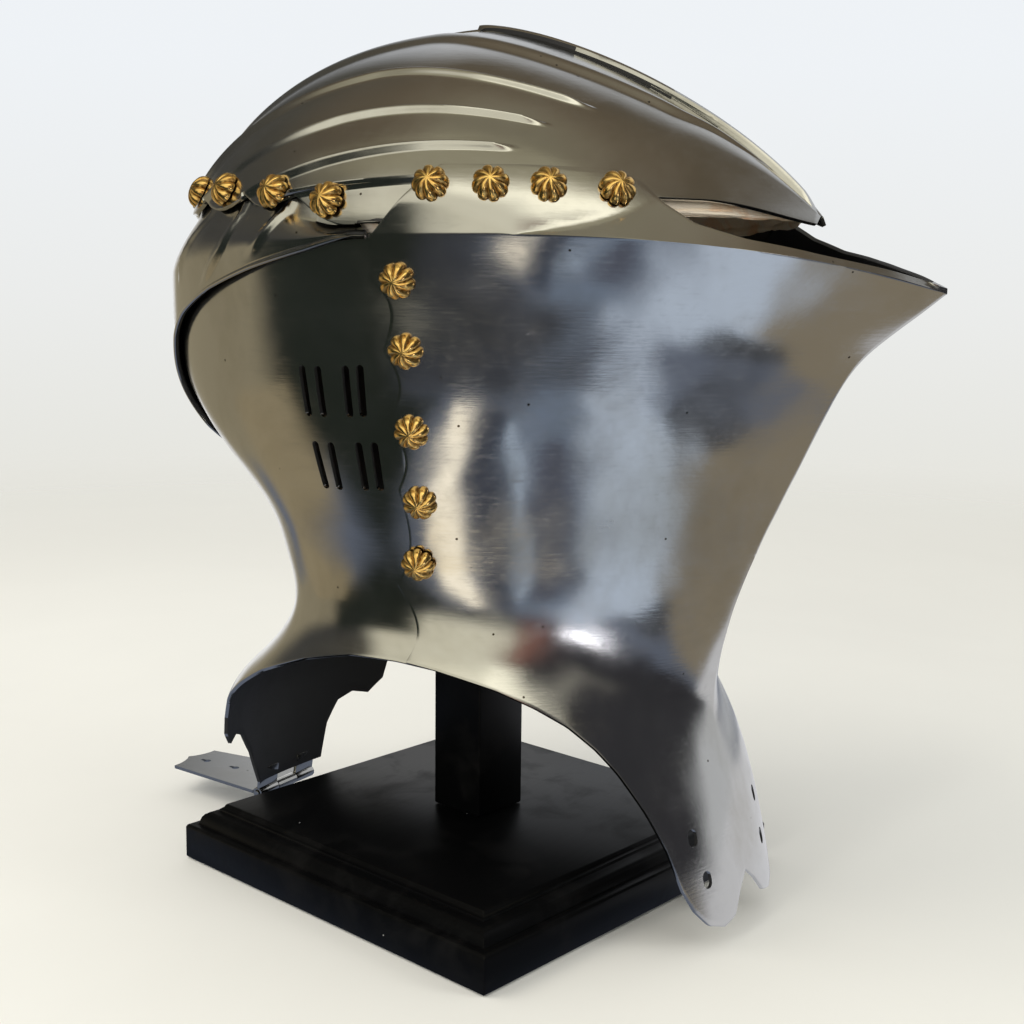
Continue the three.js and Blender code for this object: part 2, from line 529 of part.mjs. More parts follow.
function skull() {
  const rows = [0, 0.1];
  FLUTES.slice(0, -1).forEach(({ row, half }, i) => {
    rows.push(row - half, row, row + half, (row + FLUTES[i + 1].row) / 2);
  });
  const across = [...new Set(rows)].sort((a, b) => a - b);
  const columns = [...across.map((row) => ({ row, side: -1 })), { row: 1, side: -1 },
    ...[...across].reverse().map((row) => ({ row, side: 1 }))];
  const alongs = [0, 0.05, 0.13, 0.23, 0.33, 0.43, 0.53, 0.64, 0.75, 0.87, 1];
  const grid = (depth) => columns.map(({ row, side }) => alongs.map((along) => {
    const surface = (a, b) => skullPoint(clamp(a, 0, 0.999), b, side);
    if (row === 1) {
      const crest = skullPoint(1, along, side);
      const before = skullPoint(1, along - NUDGE, side);
      const after = skullPoint(1, along + NUDGE, side);
      const normal = new THREE.Vector3(0, before.z - after.z, after.y - before.y).normalize();
      if (normal.z < 0) normal.negate();
      return crest.setX(0).addScaledVector(normal, fluteLift(1, along) - depth);
    }
    return raised(surface, row, along, fluteLift(row, along) - depth);
  }));
  return plateGeometry(grid(0), grid(PLATE));
}

// A fluted dome head, its flat underside on z = 0
const RIVET_LOBES = 8;
const RIVET_RINGS = [
  { radius: 1.00, height: 0.00 }, { radius: 0.80, height: 0.66 },
];
function rivetHead() {
  const sides = RIVET_LOBES * 2;
  const points = [new THREE.Vector3(0, 0, 0), new THREE.Vector3(0, 0, RIVET_HEIGHT)];
  RIVET_RINGS.forEach(({ radius, height }) => {
    for (let i = 0; i < sides; i += 1) {
      const turn = i * 2 * Math.PI / sides;
      const reach = radius * (RIVET_DIAMETER / 2) * (i % 2 ? 0.87 : 1);
      points.push(new THREE.Vector3(reach * Math.cos(turn), reach * Math.sin(turn), height * RIVET_HEIGHT));
    }
  });
  const at = (ring, i) => 2 + ring * sides + i % sides;
  const triangles = [];
  for (let i = 0; i < sides; i += 1) {
    triangles.push([0, at(0, i + 1), at(0, i)]);
    for (let ring = 0; ring < RIVET_RINGS.length - 1; ring += 1) {
      triangles.push([at(ring, i), at(ring, i + 1), at(ring + 1, i + 1)], [at(ring, i), at(ring + 1, i + 1), at(ring + 1, i)]);
    }
    triangles.push([at(RIVET_RINGS.length - 1, i), at(RIVET_RINGS.length - 1, i + 1), 1]);
  }
  return closedGeometry(points, triangles);
}

// A rivet seated on the highest place of its plate that lies under its head
const SEAT_RINGS = [0, 0.25, 0.5, 0.75, 1.05];
const SEAT_START = 12;
function seatedRivet(name, plate, surface, around, place) {
  const point = surface(around, place);
  const normal = normalOf(surface, around, place);
  const turned = new THREE.Quaternion().setFromUnitVectors(new THREE.Vector3(0, 0, 1), normal);
  const inward = normal.clone().negate();
  let nearest = 2 * SEAT_START;
  SEAT_RINGS.forEach((ring) => {
    for (let i = 0; i < RIVET_LOBES * 2; i += 1) {
      const turn = i * Math.PI / RIVET_LOBES;
      const reach = ring * RIVET_DIAMETER / 2;
      const from = new THREE.Vector3(reach * Math.cos(turn), reach * Math.sin(turn), SEAT_START);
      from.applyQuaternion(turned).add(point);
      const hits = new THREE.Raycaster(from, inward).intersectObject(plate);
      if (hits.length > 0) nearest = Math.min(nearest, hits[0].distance);
    }
  });
  const mesh = new THREE.Mesh(rivetHead(), BRASS);
  mesh.name = name;
  mesh.position.copy(point).addScaledVector(normal, SEAT_START - nearest + RIVET_SEAT);
  mesh.quaternion.copy(turned);
  return mesh;
}

function rivets(facePlateMesh, skullMesh) {
  const rows = [
    { kind: 'seam', places: SEAM_RIVETS, plate: facePlateMesh, surface: bodyPoint },
    { kind: 'flange', places: FLANGE_RIVETS, plate: facePlateMesh, surface: domeRing },
    { kind: 'nape', places: NAPE_RIVETS, plate: skullMesh, surface: domeRing },
  ];
  return ['right', 'left'].flatMap((side) => rows.flatMap(({ kind, places, plate, surface }) => (
    places.map(({ around, down, up }, i) => {
      const place = side === 'right' ? around : 4 - around;
      return seatedRivet(`${kind}_rivet_${side}_${i + 1}`, plate, surface, place, down ?? up);
    }))));
}

// The leather: a cap under the dome with a skirt behind the slots, hanging inside the plates. Low is
// 0 at the top of the cap, CAP_SHARE at the lip's level and 1 at the hem, which drops by a share of
// the body's height.
const LINER_HEM = [
  { around: 0.00, drop: 0.01 }, { around: 0.60, drop: 0.01 }, { around: 0.72, drop: 0.07 },
  { around: 0.80, drop: 0.24 }, { around: 1.20, drop: 0.26 }, { around: 2.00, drop: 0.24 },
];
const CAP_SHARE = 0.7;
const CRUMPLE = 1.2;
function linerPoint(around, low) {
  const side = around > 2 ? 1 : -1;
  const place = around > 2 ? 4 - around : around;
  const ends = LINER_FRONT_RISE * (1 - ease((place - 0.5) / 0.25));
  const up = mix(ends, 1, low < CAP_SHARE ? Math.cos(low / CAP_SHARE * Math.PI / 2) : 0);
  const crumple = CRUMPLE * (1 + Math.sin(place * 23) * Math.sin(low * 17 + place * 5));
  const inset = LAYER + PLATE + LINER_SAG * up ** 2 + crumple;
  const ring = domeRing(place, up);
  const out = Math.hypot(ring.x, ring.y) + 1e-6;
  const shrink = Math.max(0, 1 - inset * 1.05 / out);
  const drop = PLATE + LINER_SAG * up ** 2;
  if (low <= CAP_SHARE) {
    return new THREE.Vector3(side * Math.abs(ring.x) * shrink, ring.y * shrink, ring.z - drop * up);
  }
  const share = (low - CAP_SHARE) / (1 - CAP_SHARE);
  const hem = lookUp(LINER_HEM, 'around', 'drop', place) * share;
  const wall = raised(bodyPoint, place, hem, -LINER_STAND_OFF - crumple);
  const blend = place < 0.72 ? 0 : ease(share * 2);
  const x = mix(Math.abs(ring.x) * shrink, Math.abs(wall.x), blend);
  return new THREE.Vector3(side * x, mix(ring.y * shrink, wall.y, blend), mix(ring.z - hem * BODY_HEIGHT, wall.z, blend));
}

function leatherLiner() {
  const quarter = [0, 0.2, 0.36, 0.5, 0.6, 0.68, 0.76, 0.84, 0.95, 1.07, 1.2, 1.33, 1.47, 1.6, 1.73, 1.87];
  const columns = [...quarter, 2, ...quarter.map((around) => 4 - around).reverse()];
  const rows = [0, 0.16, 0.34, 0.52, CAP_SHARE, 0.8, 0.9, 1];
  const outer = columns.map((a) => rows.map((b) => linerPoint(a, b)));
  const inner = columns.map((a, i) => rows.map((b, j) => {
    const point = outer[i][j].clone();
    if (j === 0) return point.setZ(point.z - LINER_WALL);
    const normal = normalOf(linerPoint, clamp(a, 0.03, 3.97), clamp(b, 0.01, 0.99));
    if (a === 0 || a === 4) normal.setX(0).normalize();
    return point.addScaledVector(normal, -LINER_WALL);
  }));
  return plateGeometry(outer, inner, true);
}

// The hasp, drawn flat with its length along Y, from the hinge axis
function hasp() {
  const root = HASP_ROOT_WIDTH / 2;
  const end = HASP_END_WIDTH / 2;
  const clearRoot = KNUCKLE_DIAMETER / 2 + PIN_GAP;
  const tongueRoot = PIN_DIAMETER / 2 + PIN_GAP + 0.4;
  const tongue = KNUCKLE_SPLIT;
  const outline = new THREE.Shape();
  outline.moveTo(-root, clearRoot);
  outline.lineTo(-tongue, clearRoot);
  outline.lineTo(-tongue, tongueRoot);
  outline.lineTo(tongue, tongueRoot);
  outline.lineTo(tongue, clearRoot);
  outline.lineTo(root, clearRoot);
  outline.lineTo(end, HASP_LENGTH - end * 0.3);
  outline.quadraticCurveTo(end * 0.45, HASP_LENGTH - end * 0.35, 0, HASP_LENGTH);
  outline.quadraticCurveTo(-end * 0.45, HASP_LENGTH - end * 0.35, -end, HASP_LENGTH - end * 0.3);
  outline.closePath();
  [0.2, 0.5, 0.8].forEach((share) => {
    const hole = new THREE.Path();
    const at = HASP_LENGTH * share;
    const slot = HASP_HOLE * 0.25;
    hole.moveTo(slot, at + HASP_HOLE * 0.45);
    hole.lineTo(slot, at + HASP_HOLE);
    hole.lineTo(-slot, at + HASP_HOLE);
    hole.absarc(0, at, HASP_HOLE / 2, Math.PI * 0.66, Math.PI * 2.34, false);
    outline.holes.push(hole);
  });
  const plate = new THREE.ExtrudeGeometry(outline, { depth: HASP_THICKNESS, bevelEnabled: false, curveSegments: 5 });
  plate.translate(0, HINGE_BACK, HINGE_HEIGHT - HASP_THICKNESS / 2);
  return join(plate, [knuckle(-tongue, tongue)]);
}

function hingePin() {
  const pin = new THREE.CylinderGeometry(PIN_DIAMETER / 2, PIN_DIAMETER / 2, HASP_ROOT_WIDTH + 1.5, 12);
  pin.rotateZ(Math.PI / 2);
  return pin.translate(0, HINGE_BACK, HINGE_HEIGHT);
}

// A square moulding turned from its half widths and heights
function squareMoulding(profile) {
  const corner = profile.map(([half, height]) => new THREE.Vector2(half * Math.SQRT2, height));
  return new THREE.LatheGeometry(corner, 4, Math.PI / 4).rotateX(Math.PI / 2);
}

function standBase() {
  const half = BASE_SIDE / 2;
  const top = BASE_TOP_SIDE / 2;
  const step = half - top;
  const rise = BASE_HEIGHT - BASE_PLINTH;
  return squareMoulding([
    [0, 0], [half, 0], [half, BASE_PLINTH], [half - step * 0.25, BASE_PLINTH],
    [half - step * 0.32, BASE_PLINTH + rise * 0.2], [half - step * 0.5, BASE_PLINTH + rise * 0.55],
    [half - step * 0.8, BASE_PLINTH + rise * 0.75], [top + step * 0.06, BASE_PLINTH + rise * 0.85],
    [top, BASE_HEIGHT], [0, BASE_HEIGHT],
  ]);
}

const restTop = () => linerPoint(0, 0).z - LINER_WALL - SEAT_GAP;
function standPost() {
  const height = restTop() - REST_HEIGHT - SEAT_GAP - BASE_HEIGHT - SEAT_GAP;
  return new THREE.BoxGeometry(POST_SIDE, POST_SIDE, height).translate(0, 0, BASE_HEIGHT + SEAT_GAP + height / 2);
}

// The rest is a plain pad shaped to go up into the crest
function standRest() {
  const half = REST_DIAMETER / 2;
  const top = restTop();
  const profile = [[0, top - REST_HEIGHT], [half, top - REST_HEIGHT], [half, top - half * 0.75],
    [half * 0.66, top - half * 0.42], [half * 0.3, top - half * 0.24], [0, top]];
  return new THREE.LatheGeometry(profile.map(([r, z]) => new THREE.Vector2(r, z)), 18).rotateX(Math.PI / 2);
}

const helm = new THREE.Group();
helm.name = 'helm_on_stand';
const add = (name, geometry, material) => {
  const mesh = new THREE.Mesh(geometry, material);
  mesh.name = name;
  helm.add(mesh);
  return mesh;
};

const facePlateMesh = add('face_plate', facePlate(), STEEL);
add('back_plate', backPlate(), STEEL);
add('nape_plate', napePlate(), STEEL);
const skullMesh = add('skull', skull(), STEEL);
rivets(facePlateMesh, skullMesh).forEach((mesh) => helm.add(mesh));
add('leather_liner', leatherLiner(), LEATHER);
add('hasp', hasp(), STEEL);
add('hinge_pin', hingePin(), STEEL);

const stand = new THREE.Group();
stand.rotation.z = THREE.MathUtils.degToRad(STAND_TURN);
[['stand_base', standBase()], ['stand_post', standPost()], ['stand_rest', standRest()]].forEach(([name, geometry]) => {
  const mesh = new THREE.Mesh(geometry, BLACK_WOOD);
  mesh.name = name;
  stand.add(mesh);
});
helm.add(stand);

export default helm;
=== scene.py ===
"""Frog-mouth helm on its display stand: the dressed pieces, their materials, the light and the camera.

The helm faces -Y and its right side is -X. Tables and dimensions are in millimetres, as shares where
they say so, and a mesh is in metres.
"""
import math

import bpy
import numpy as np
from mathutils import Matrix, Vector, noise


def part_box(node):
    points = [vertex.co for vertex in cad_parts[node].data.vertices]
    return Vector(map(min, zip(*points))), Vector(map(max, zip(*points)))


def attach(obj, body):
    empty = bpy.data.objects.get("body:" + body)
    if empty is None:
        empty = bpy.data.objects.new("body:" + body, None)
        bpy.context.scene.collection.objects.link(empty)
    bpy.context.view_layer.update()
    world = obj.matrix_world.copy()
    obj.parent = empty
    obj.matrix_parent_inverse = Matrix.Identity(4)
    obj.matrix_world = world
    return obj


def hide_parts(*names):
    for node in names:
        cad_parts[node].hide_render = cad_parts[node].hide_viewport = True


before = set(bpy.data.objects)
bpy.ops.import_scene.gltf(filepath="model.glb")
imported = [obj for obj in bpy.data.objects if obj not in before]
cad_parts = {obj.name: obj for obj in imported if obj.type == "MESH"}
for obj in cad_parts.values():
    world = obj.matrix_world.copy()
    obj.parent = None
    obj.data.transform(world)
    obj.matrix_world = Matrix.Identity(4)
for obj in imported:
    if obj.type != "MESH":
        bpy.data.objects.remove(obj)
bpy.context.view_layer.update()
MM = 0.001
HELM = "helm_and_stand"

# Sizes of the helm
HEM_HEIGHT, BODY_HEIGHT = 18, 333
FRONT_REACH, HALF_WIDTH, BACK_REACH = 254, 150, 181
SKULL_HEIGHT, SKULL_FRONT, SKULL_BACK = 117, 200, 165
SKULL_HALF_WIDTH, SKULL_SPREAD = 146, 5
PLATE, LAP_GAP, FACET_GAP = 2, 0.8, 1.0
LAYER = PLATE + LAP_GAP
LIP_HEIGHT = HEM_HEIGHT + BODY_HEIGHT
FLANGE_RISE, FLANGE_LEAN = 31, 1.25
PROW_POWER, BROW_POWER = 2.0, 2.6
RIVET_DIAMETER, RIVET_HEIGHT = 17, 6.5
RIB_HEIGHT, BROAD_RIB_HEIGHT = 2.3, 2.6
CREST_SINK, CREST_BEAD, BEAD_GROOVE = 3.5, 1.9, 0.7
RIM_ROUND, EVEN_STEP = 0.35, 0.0011

# Rings of the body from the lip down: heights at the front, side and back as shares of BODY_HEIGHT,
# reaches to the front, side and back as shares of theirs, roundness of the keel and droop
RINGS = {
    "front": (0.928, 0.862, 0.802, 0.706, 0.598, 0.498, 0.411, 0.321, 0.246, 0.141, 0.000),
    "side": (1.000, 0.937, 0.871, 0.772, 0.667, 0.571, 0.492, 0.426, 0.366, 0.261, 0.066),
    "back": (0.955, 0.901, 0.847, 0.772, 0.682, 0.592, 0.502, 0.411, 0.321, 0.216, 0.006),
    "fore": (1.000, 0.890, 0.819, 0.756, 0.689, 0.634, 0.598, 0.575, 0.583, 0.622, 0.669),
    "wide": (1.000, 0.980, 0.967, 0.933, 0.873, 0.800, 0.747, 0.753, 0.827, 0.933, 1.000),
    "aft": (0.977, 0.994, 1.000, 0.989, 0.853, 0.672, 0.605, 0.565, 0.667, 0.831, 0.825),
    "round": (1.00, 1.00, 1.00, 1.00, 1.00, 1.05, 1.15, 1.35, 1.60, 1.90, 2.00),
    "droop": (4.3, 3.4, 2.6, 2.0, 2.0, 2.0, 2.0, 2.0, 2.0, 2.0, 2.0),
}

# Edges of the plates: places round the body (0 front, 1 side, 2 back) and down it (0 lip, 1 last ring)
CHEST_HEM = ((0.000, 0.975), (0.045, 0.990), (0.090, 1.012), (0.140, 1.018), (0.190, 1.012), (0.230, 0.995),
             (0.256, 0.975), (0.284, 0.935), (0.323, 0.899), (0.374, 0.858), (0.415, 0.834), (0.472, 0.810),
             (0.542, 0.793), (0.632, 0.778), (0.778, 0.766), (0.880, 0.762))
BACK_HEM = ((0.740, 0.764), (0.880, 0.762), (1.013, 0.767), (1.183, 0.792), (1.365, 0.832), (1.470, 0.866),
            (1.530, 0.884), (1.560, 0.890), (1.610, 0.905), (1.640, 0.938), (1.690, 0.950), (1.740, 0.945),
            (1.790, 0.950), (1.835, 0.968), (1.870, 0.995), (2.000, 0.995))
SEAM_CUSPS = ((0.000, 0.874), (0.092, 0.862), (0.231, 0.820), (0.326, 0.816), (0.420, 0.804), (0.593, 0.866),
              (0.762, 0.848))
SEAM_SCALLOP, SEAM_LAP = 0.035, 0.775
NAPE_EDGE = ((0.890, 0.004), (0.997, 0.034), (1.128, 0.069), (1.265, 0.110), (1.415, 0.165), (1.520, 0.215),
             (1.600, 0.290), (1.660, 0.380), (1.740, 0.425), (1.860, 0.440), (2.000, 0.445))
NAPE_RIM, NAPE_TURN = 4.2, 259
# The nape plate's flutes, from under the skull down: place round the helm and height
NAPE_FLUTES = (((1.050, 368), (1.135, 339)), ((1.180, 370), (1.217, 346), (1.310, 323)),
               ((1.312, 372), (1.387, 351), (1.430, 326)))
FLANGE_EDGE = ((0.240, 1.00), (0.500, 1.00), (0.540, 0.84), (0.575, 0.58), (0.640, 0.30), (0.720, 0.15),
               (0.820, 0.10), (1.000, 0.08))
FLANGE_REAR_LOW, FLANGE_REAR_HIGH = 0.858, 0.750
SLOTS = ((1.040, 0.293), (1.006, 0.293), (0.926, 0.291), (0.886, 0.289),
         (1.040, 0.398), (1.002, 0.398), (0.911, 0.395), (0.863, 0.393))
CHEST_HOLES = ((0.196, 0.925), (0.172, 0.968))
SEAM_RIVETS = ((0.796, 0.099), (0.767, 0.229), (0.755, 0.336), (0.748, 0.436), (0.784, 0.542))
FLANGE_RIVETS = ((0.675, 0.17), (0.547, 0.17), (0.436, 0.17), (0.318, 0.16))
NAPE_RIVETS = ((0.945, 0.128), (1.086, 0.168), (1.260, 0.195), (1.450, 0.210), (1.660, 0.220), (1.885, 0.225))

# Flutes of the skull: row over the dome, place round the rear edge, how far forward it runs, half width
FLUTES = ((0.20, 1.045, 0.44, 0.016), (0.32, 1.175, 0.56, 0.014), (0.43, 1.365, 0.65, 0.012),
          (0.56, 1.560, 0.72, 0.013), (0.76, 1.770, 0.97, 0.035), (1.00, 2.000, 1.20, 0.020))
FLUTE_REACH, FLUTE_FAN = 0.65, 1.2
SKULL_EDGE_FROM, SKULL_EDGE_RISE, SKULL_EDGE_START, SCALLOP_DEPTH = 0.84, 20, 5, 6.5
BROW_LOW, BROW_HIGH, BROW_DIP = 0.06, 0.15, 0.094
DOME = {"fore": (1.4, 0.72), "wide": (1.9, 0.75), "aft": (1.3, 0.40)}


def mix(a, b, share):
    return a + (b - a) * share


def ease(x):
    x = np.clip(x, 0, 1)
    return x * x * (3 - 2 * x)


def look_up(table, place):
    rows = np.array(table, float)
    return np.interp(place, rows[:, 0], rows[:, 1])


def spline_slopes(values):
    """Second derivatives of the natural cubic spline through evenly spaced values."""
    count = len(values)
    lines = np.eye(count)
    right = np.zeros(count)
    for i in range(1, count - 1):
        lines[i, i - 1:i + 2] = 1, 4, 1
        right[i] = 6 * (values[i - 1] - 2 * values[i] + values[i + 1])
    return np.linalg.solve(lines, right)


RING_SPLINES = {name: (np.array(column), spline_slopes(column)) for name, column in RINGS.items()}


def ring_value(name, down):
    values, bends = RING_SPLINES[name]
    last = len(values) - 1
    place = np.asarray(down, float) * last
    row = np.clip(np.floor(place).astype(int), 0, last - 1)
    share = place - row
    inside = np.clip(share, 0, 1)
    rest = 1 - inside
    smooth = (rest * values[row] + inside * values[row + 1]
              + (rest ** 3 - rest) / 6 * bends[row] + (inside ** 3 - inside) / 6 * bends[row + 1])
    return smooth + (share - inside) * (values[row + 1] - values[row])


def body_point(around, down):
    """Points of the body's outer face; places from 2 to 4 run along the left side to the front."""
    around, down = np.broadcast_arrays(np.asarray(around, float), np.asarray(down, float))
    side = np.where(around > 2, 1.0, -1.0)
    place = np.where(around > 2, 4 - around, around)
    height = {name: HEM_HEIGHT + BODY_HEIGHT * ring_value(name, down) for name in ("front", "side", "back")}
    half = HALF_WIDTH * ring_value("wide", down)
    roundness = ring_value("round", down)
    fore = np.clip(1 - np.clip(place, 0, 1) ** roundness, 0, 1)
    front_x = half * (1 - fore ** PROW_POWER) ** (1 / roundness)
    front_y = -FRONT_REACH * ring_value("fore", down) * fore
    front_z = mix(height["side"], height["front"], fore ** ring_value("droop", down))
    turn = np.clip(place - 1, 0, 1) * math.pi / 2
    back_y = BACK_REACH * ring_value("aft", down) * np.sin(turn)
    back_z = mix(height["side"], height["back"], np.sin(turn) ** 2)
    is_front = place <= 1
    return np.stack([side * np.where(is_front, front_x, half * np.cos(turn)),
                     np.where(is_front, front_y, back_y), np.where(is_front, front_z, back_z)], -1)


def dome_share(name, up):
    power, root = DOME[name]
    return np.maximum(0, 1 - np.maximum(up, 0) ** power) ** root


def dome_top(name, reach):
    power, root = DOME[name]
    return (1 - np.clip(reach, 0, 1) ** (1 / root)) ** (1 / power)


def crest_up(y):
    return np.where(y < 0, dome_top("fore", -y / SKULL_FRONT), dome_top("aft", y / SKULL_BACK))


def side_half(y):
    return SKULL_HALF_WIDTH + SKULL_SPREAD * ease((y / SKULL_BACK + 0.27) / 0.5)


def dome_half(y, up):
    half = side_half(y) * dome_share("wide", up)
    ahead = np.clip(-y / (SKULL_FRONT * dome_share("fore", up) + 1e-9), 0, 1)
    behind = np.clip(y / (SKULL_BACK * dome_share("aft", up) + 1e-9), 0, 1)
    return half * np.where(y < 0, 1 - ahead ** BROW_POWER, np.sqrt(1 - behind ** 2))


def dome_ring(around, up):
    """Points of the skull's outer face by place round it and share of its height."""
    around, up = np.broadcast_arrays(np.asarray(around, float), np.asarray(up, float))
    side = np.where(around > 2, 1.0, -1.0)
    place = np.where(around > 2, 4 - around, around)
    y_front = -SKULL_FRONT * dome_share("fore", up) * (1 - np.clip(place, 0, 1))
    turn = np.clip(place - 1, 0, 1) * math.pi / 2
    y_back = SKULL_BACK * dome_share("aft", up) * np.sin(turn)
    back_x = side_half(y_back) * dome_share("wide", up) * np.cos(turn)
    x = np.where(place < 1, dome_half(y_front, up), back_x)
    return np.stack([side * x, np.where(place < 1, y_front, y_back), LIP_HEIGHT + SKULL_HEIGHT * up], -1)


def normals(surface, a, b, nudge=0.004):
    along_a = surface(a + nudge, b) - surface(a - nudge, b)
    along_b = surface(a, b + nudge) - surface(a, b - nudge)
    normal = np.cross(along_a, along_b)
    normal /= np.linalg.norm(normal, axis=-1, keepdims=True) + 1e-12
    away = surface(a, b)
    away[..., 2] = np.maximum(0, away[..., 2] - LIP_HEIGHT)
    return normal * np.where((normal * away).sum(-1, keepdims=True) < 0, -1, 1)


def raised(surface, a, b, lift):
    return surface(a, b) + normals(surface, a, b) * np.asarray(lift)[..., None]


# Making and finishing pieces
def deselect():
    bpy.ops.object.select_all(action="DESELECT")


def active(piece):
    deselect()
    piece.select_set(True)
    bpy.context.view_layer.objects.active = piece


def mark_inside(piece):
    """Marks the faces that look into the helm, which the steel material colours near black."""
    mesh = piece.data
    inside = mesh.attributes.new("inside", "FLOAT", "FACE")
    marks = []
    for face in mesh.polygons:
        away = Vector(face.center)
        away.z = max(0.0, away.z - LIP_HEIGHT * MM)
        marks.append(1.0 if face.normal.dot(away) < 0 else 0.0)
    inside.data.foreach_set("value", marks)


def finish(piece, body, node_names, material, angle=38):
    active(piece)
    bpy.ops.object.transform_apply(location=True, rotation=True, scale=True)
    bpy.ops.object.shade_smooth_by_angle(angle=math.radians(angle))
    piece.data.materials.clear()
    piece.data.materials.append(material)
    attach(piece, body)
    if node_names:
        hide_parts(*node_names)
    deselect()
    return piece


def modify(piece, kind, **values):
    active(piece)
    modifier = piece.modifiers.new(kind.lower(), kind)
    for name, value in values.items():
        setattr(modifier, name, value)
    bpy.ops.object.modifier_apply(modifier=modifier.name)


def shaped_grid(name, columns, rows, surface):
    """A flat grid bent to a surface. Columns and rows are the places of its lines."""
    bpy.ops.mesh.primitive_grid_add(x_subdivisions=len(columns) - 1, y_subdivisions=len(rows) - 1, size=1)
    piece = bpy.context.active_object
    piece.name = name
    count = len(piece.data.vertices)
    flat = np.empty(count * 3)
    piece.data.vertices.foreach_get("co", flat)
    flat = flat.reshape(-1, 3)
    i = np.rint((flat[:, 0] + 0.5) * (len(columns) - 1)).astype(int)
    j = np.rint((flat[:, 1] + 0.5) * (len(rows) - 1)).astype(int)
    points = surface(np.asarray(columns, float)[i], np.asarray(rows, float)[j])
    piece.data.vertices.foreach_set("co", (points * MM).ravel())
    piece.data.update()
    return piece


def spaced(places, least):
    """Places in rising order without those that lie closer than a least step to the one before."""
    places = np.unique(places)
    kept = [places[0]]
    for place in places[1:-1]:
        if place - kept[-1] >= least and places[-1] - place >= least:
            kept.append(place)
    return np.array(kept + [places[-1]])


def face_outwards(piece):
    """Turns the faces of an open plate away from the post's axis."""
    mesh = piece.data
    total = 0.0
    for face in mesh.polygons:
        away = Vector(face.center)
        away.z = max(0.0, away.z - LIP_HEIGHT * MM)
        total += face.normal.dot(away) * face.area
    if total < 0:
        active(piece)
        bpy.ops.object.mode_set(mode="EDIT")
        bpy.ops.mesh.select_all(action="SELECT")
        bpy.ops.mesh.flip_normals()
        bpy.ops.object.mode_set(mode="OBJECT")


def smooth_where(piece, chosen, passes, factor=0.5):
    """Softens the vertices whose place a test chooses, as a plate's fold is softened by the hammer."""
    active(piece)
    group = piece.vertex_groups.new(name="fold")
    co = np.empty(len(piece.data.vertices) * 3)
    piece.data.vertices.foreach_get("co", co)
    picked = np.nonzero(chosen(co.reshape(-1, 3) / MM))[0].tolist()
    group.add(picked, 1.0, "REPLACE")
    modify(piece, "SMOOTH", factor=factor, iterations=passes, vertex_group="fold")
    piece.vertex_groups.remove(piece.vertex_groups["fold"])


def thicken(piece, thickness, rim=RIM_ROUND, even=True):
    face_outwards(piece)
    modify(piece, "SOLIDIFY", thickness=thickness * MM, offset=-1.0, use_even_offset=even, use_rim=True)
    modify(piece, "BEVEL", width=rim * MM, segments=2, limit_method="ANGLE", angle_limit=math.radians(62),
           harden_normals=False)


def cut_away(piece, tools):
    """Cuts a list of closed tools out of a piece and throws the tools away."""
    deselect()
    for tool in tools:
        tool.select_set(True)
    bpy.context.view_layer.objects.active = tools[0]
    if len(tools) > 1:
        bpy.ops.object.join()
    tool = tools[0]
    modify(piece, "BOOLEAN", operation="DIFFERENCE", object=tool, solver="EXACT")
    bpy.data.objects.remove(tool)


def frame_on_body(around, down):
    point = body_point(around, down)
    normal = normals(body_point, np.asarray(around, float), np.asarray(down, float))
    upward = body_point(around, down - 0.02) - body_point(around, down + 0.02)
    normal, upward = Vector(normal), Vector(upward).normalized()
    sideways = upward.cross(normal).normalized()
    upward = normal.cross(sideways)
    matrix = Matrix((sideways, upward, normal)).transposed().to_4x4()
    return Matrix.Translation(Vector(point) * MM) @ matrix


def rounded_slot_tool(around, down, width, length, depth=16):
    """A closed tool with the outline of a drilled and sawn slot, or of a hole where length is width."""
    bpy.ops.mesh.primitive_cylinder_add(vertices=24, radius=width / 2 * MM, depth=depth * MM)
    tool = bpy.context.active_object
    stretch = (length - width) / 2 * MM
    for vertex in tool.data.vertices:
        vertex.co.y += math.copysign(stretch, vertex.co.y) if abs(vertex.co.y) > 1e-7 else 0
    tool.data.transform(frame_on_body(around, down))
    return tool


# Plates
def seam_at(down):
    cusps = np.array(SEAM_CUSPS)
    row = np.clip(np.searchsorted(cusps[:, 0], down, side="left") - 1, 0, len(cusps) - 2)
    share = np.clip((down - cusps[row, 0]) / (cusps[row + 1, 0] - cusps[row, 0]), 0, 1)
    bite = np.where(row == 0, 0.3, 1.0)
    return mix(cusps[row, 1], cusps[row + 1, 1], share) - bite * SEAM_SCALLOP * np.sin(np.pi * share)


def flange_point(around, low):
    side = np.where(around > 2, 1.0, -1.0)
    lip = body_point(around, 0)
    rise = FLANGE_RISE * look_up(FLANGE_EDGE, -lip[..., 1] / FRONT_REACH)
    lift = rise * (1 - low)
    height = np.clip((lip[..., 2] + lift - LIP_HEIGHT) / SKULL_HEIGHT, 0, 1)
    on_dome = dome_half(lip[..., 1], height) + LAYER + FACET_GAP * 1.6
    lip_x = np.abs(lip[..., 0])
    half = np.clip(np.maximum(on_dome, lip_x - FLANGE_LEAN * lift), 0, lip_x)
    return np.stack([side * half, lip[..., 1], lip[..., 2] + lift], -1)


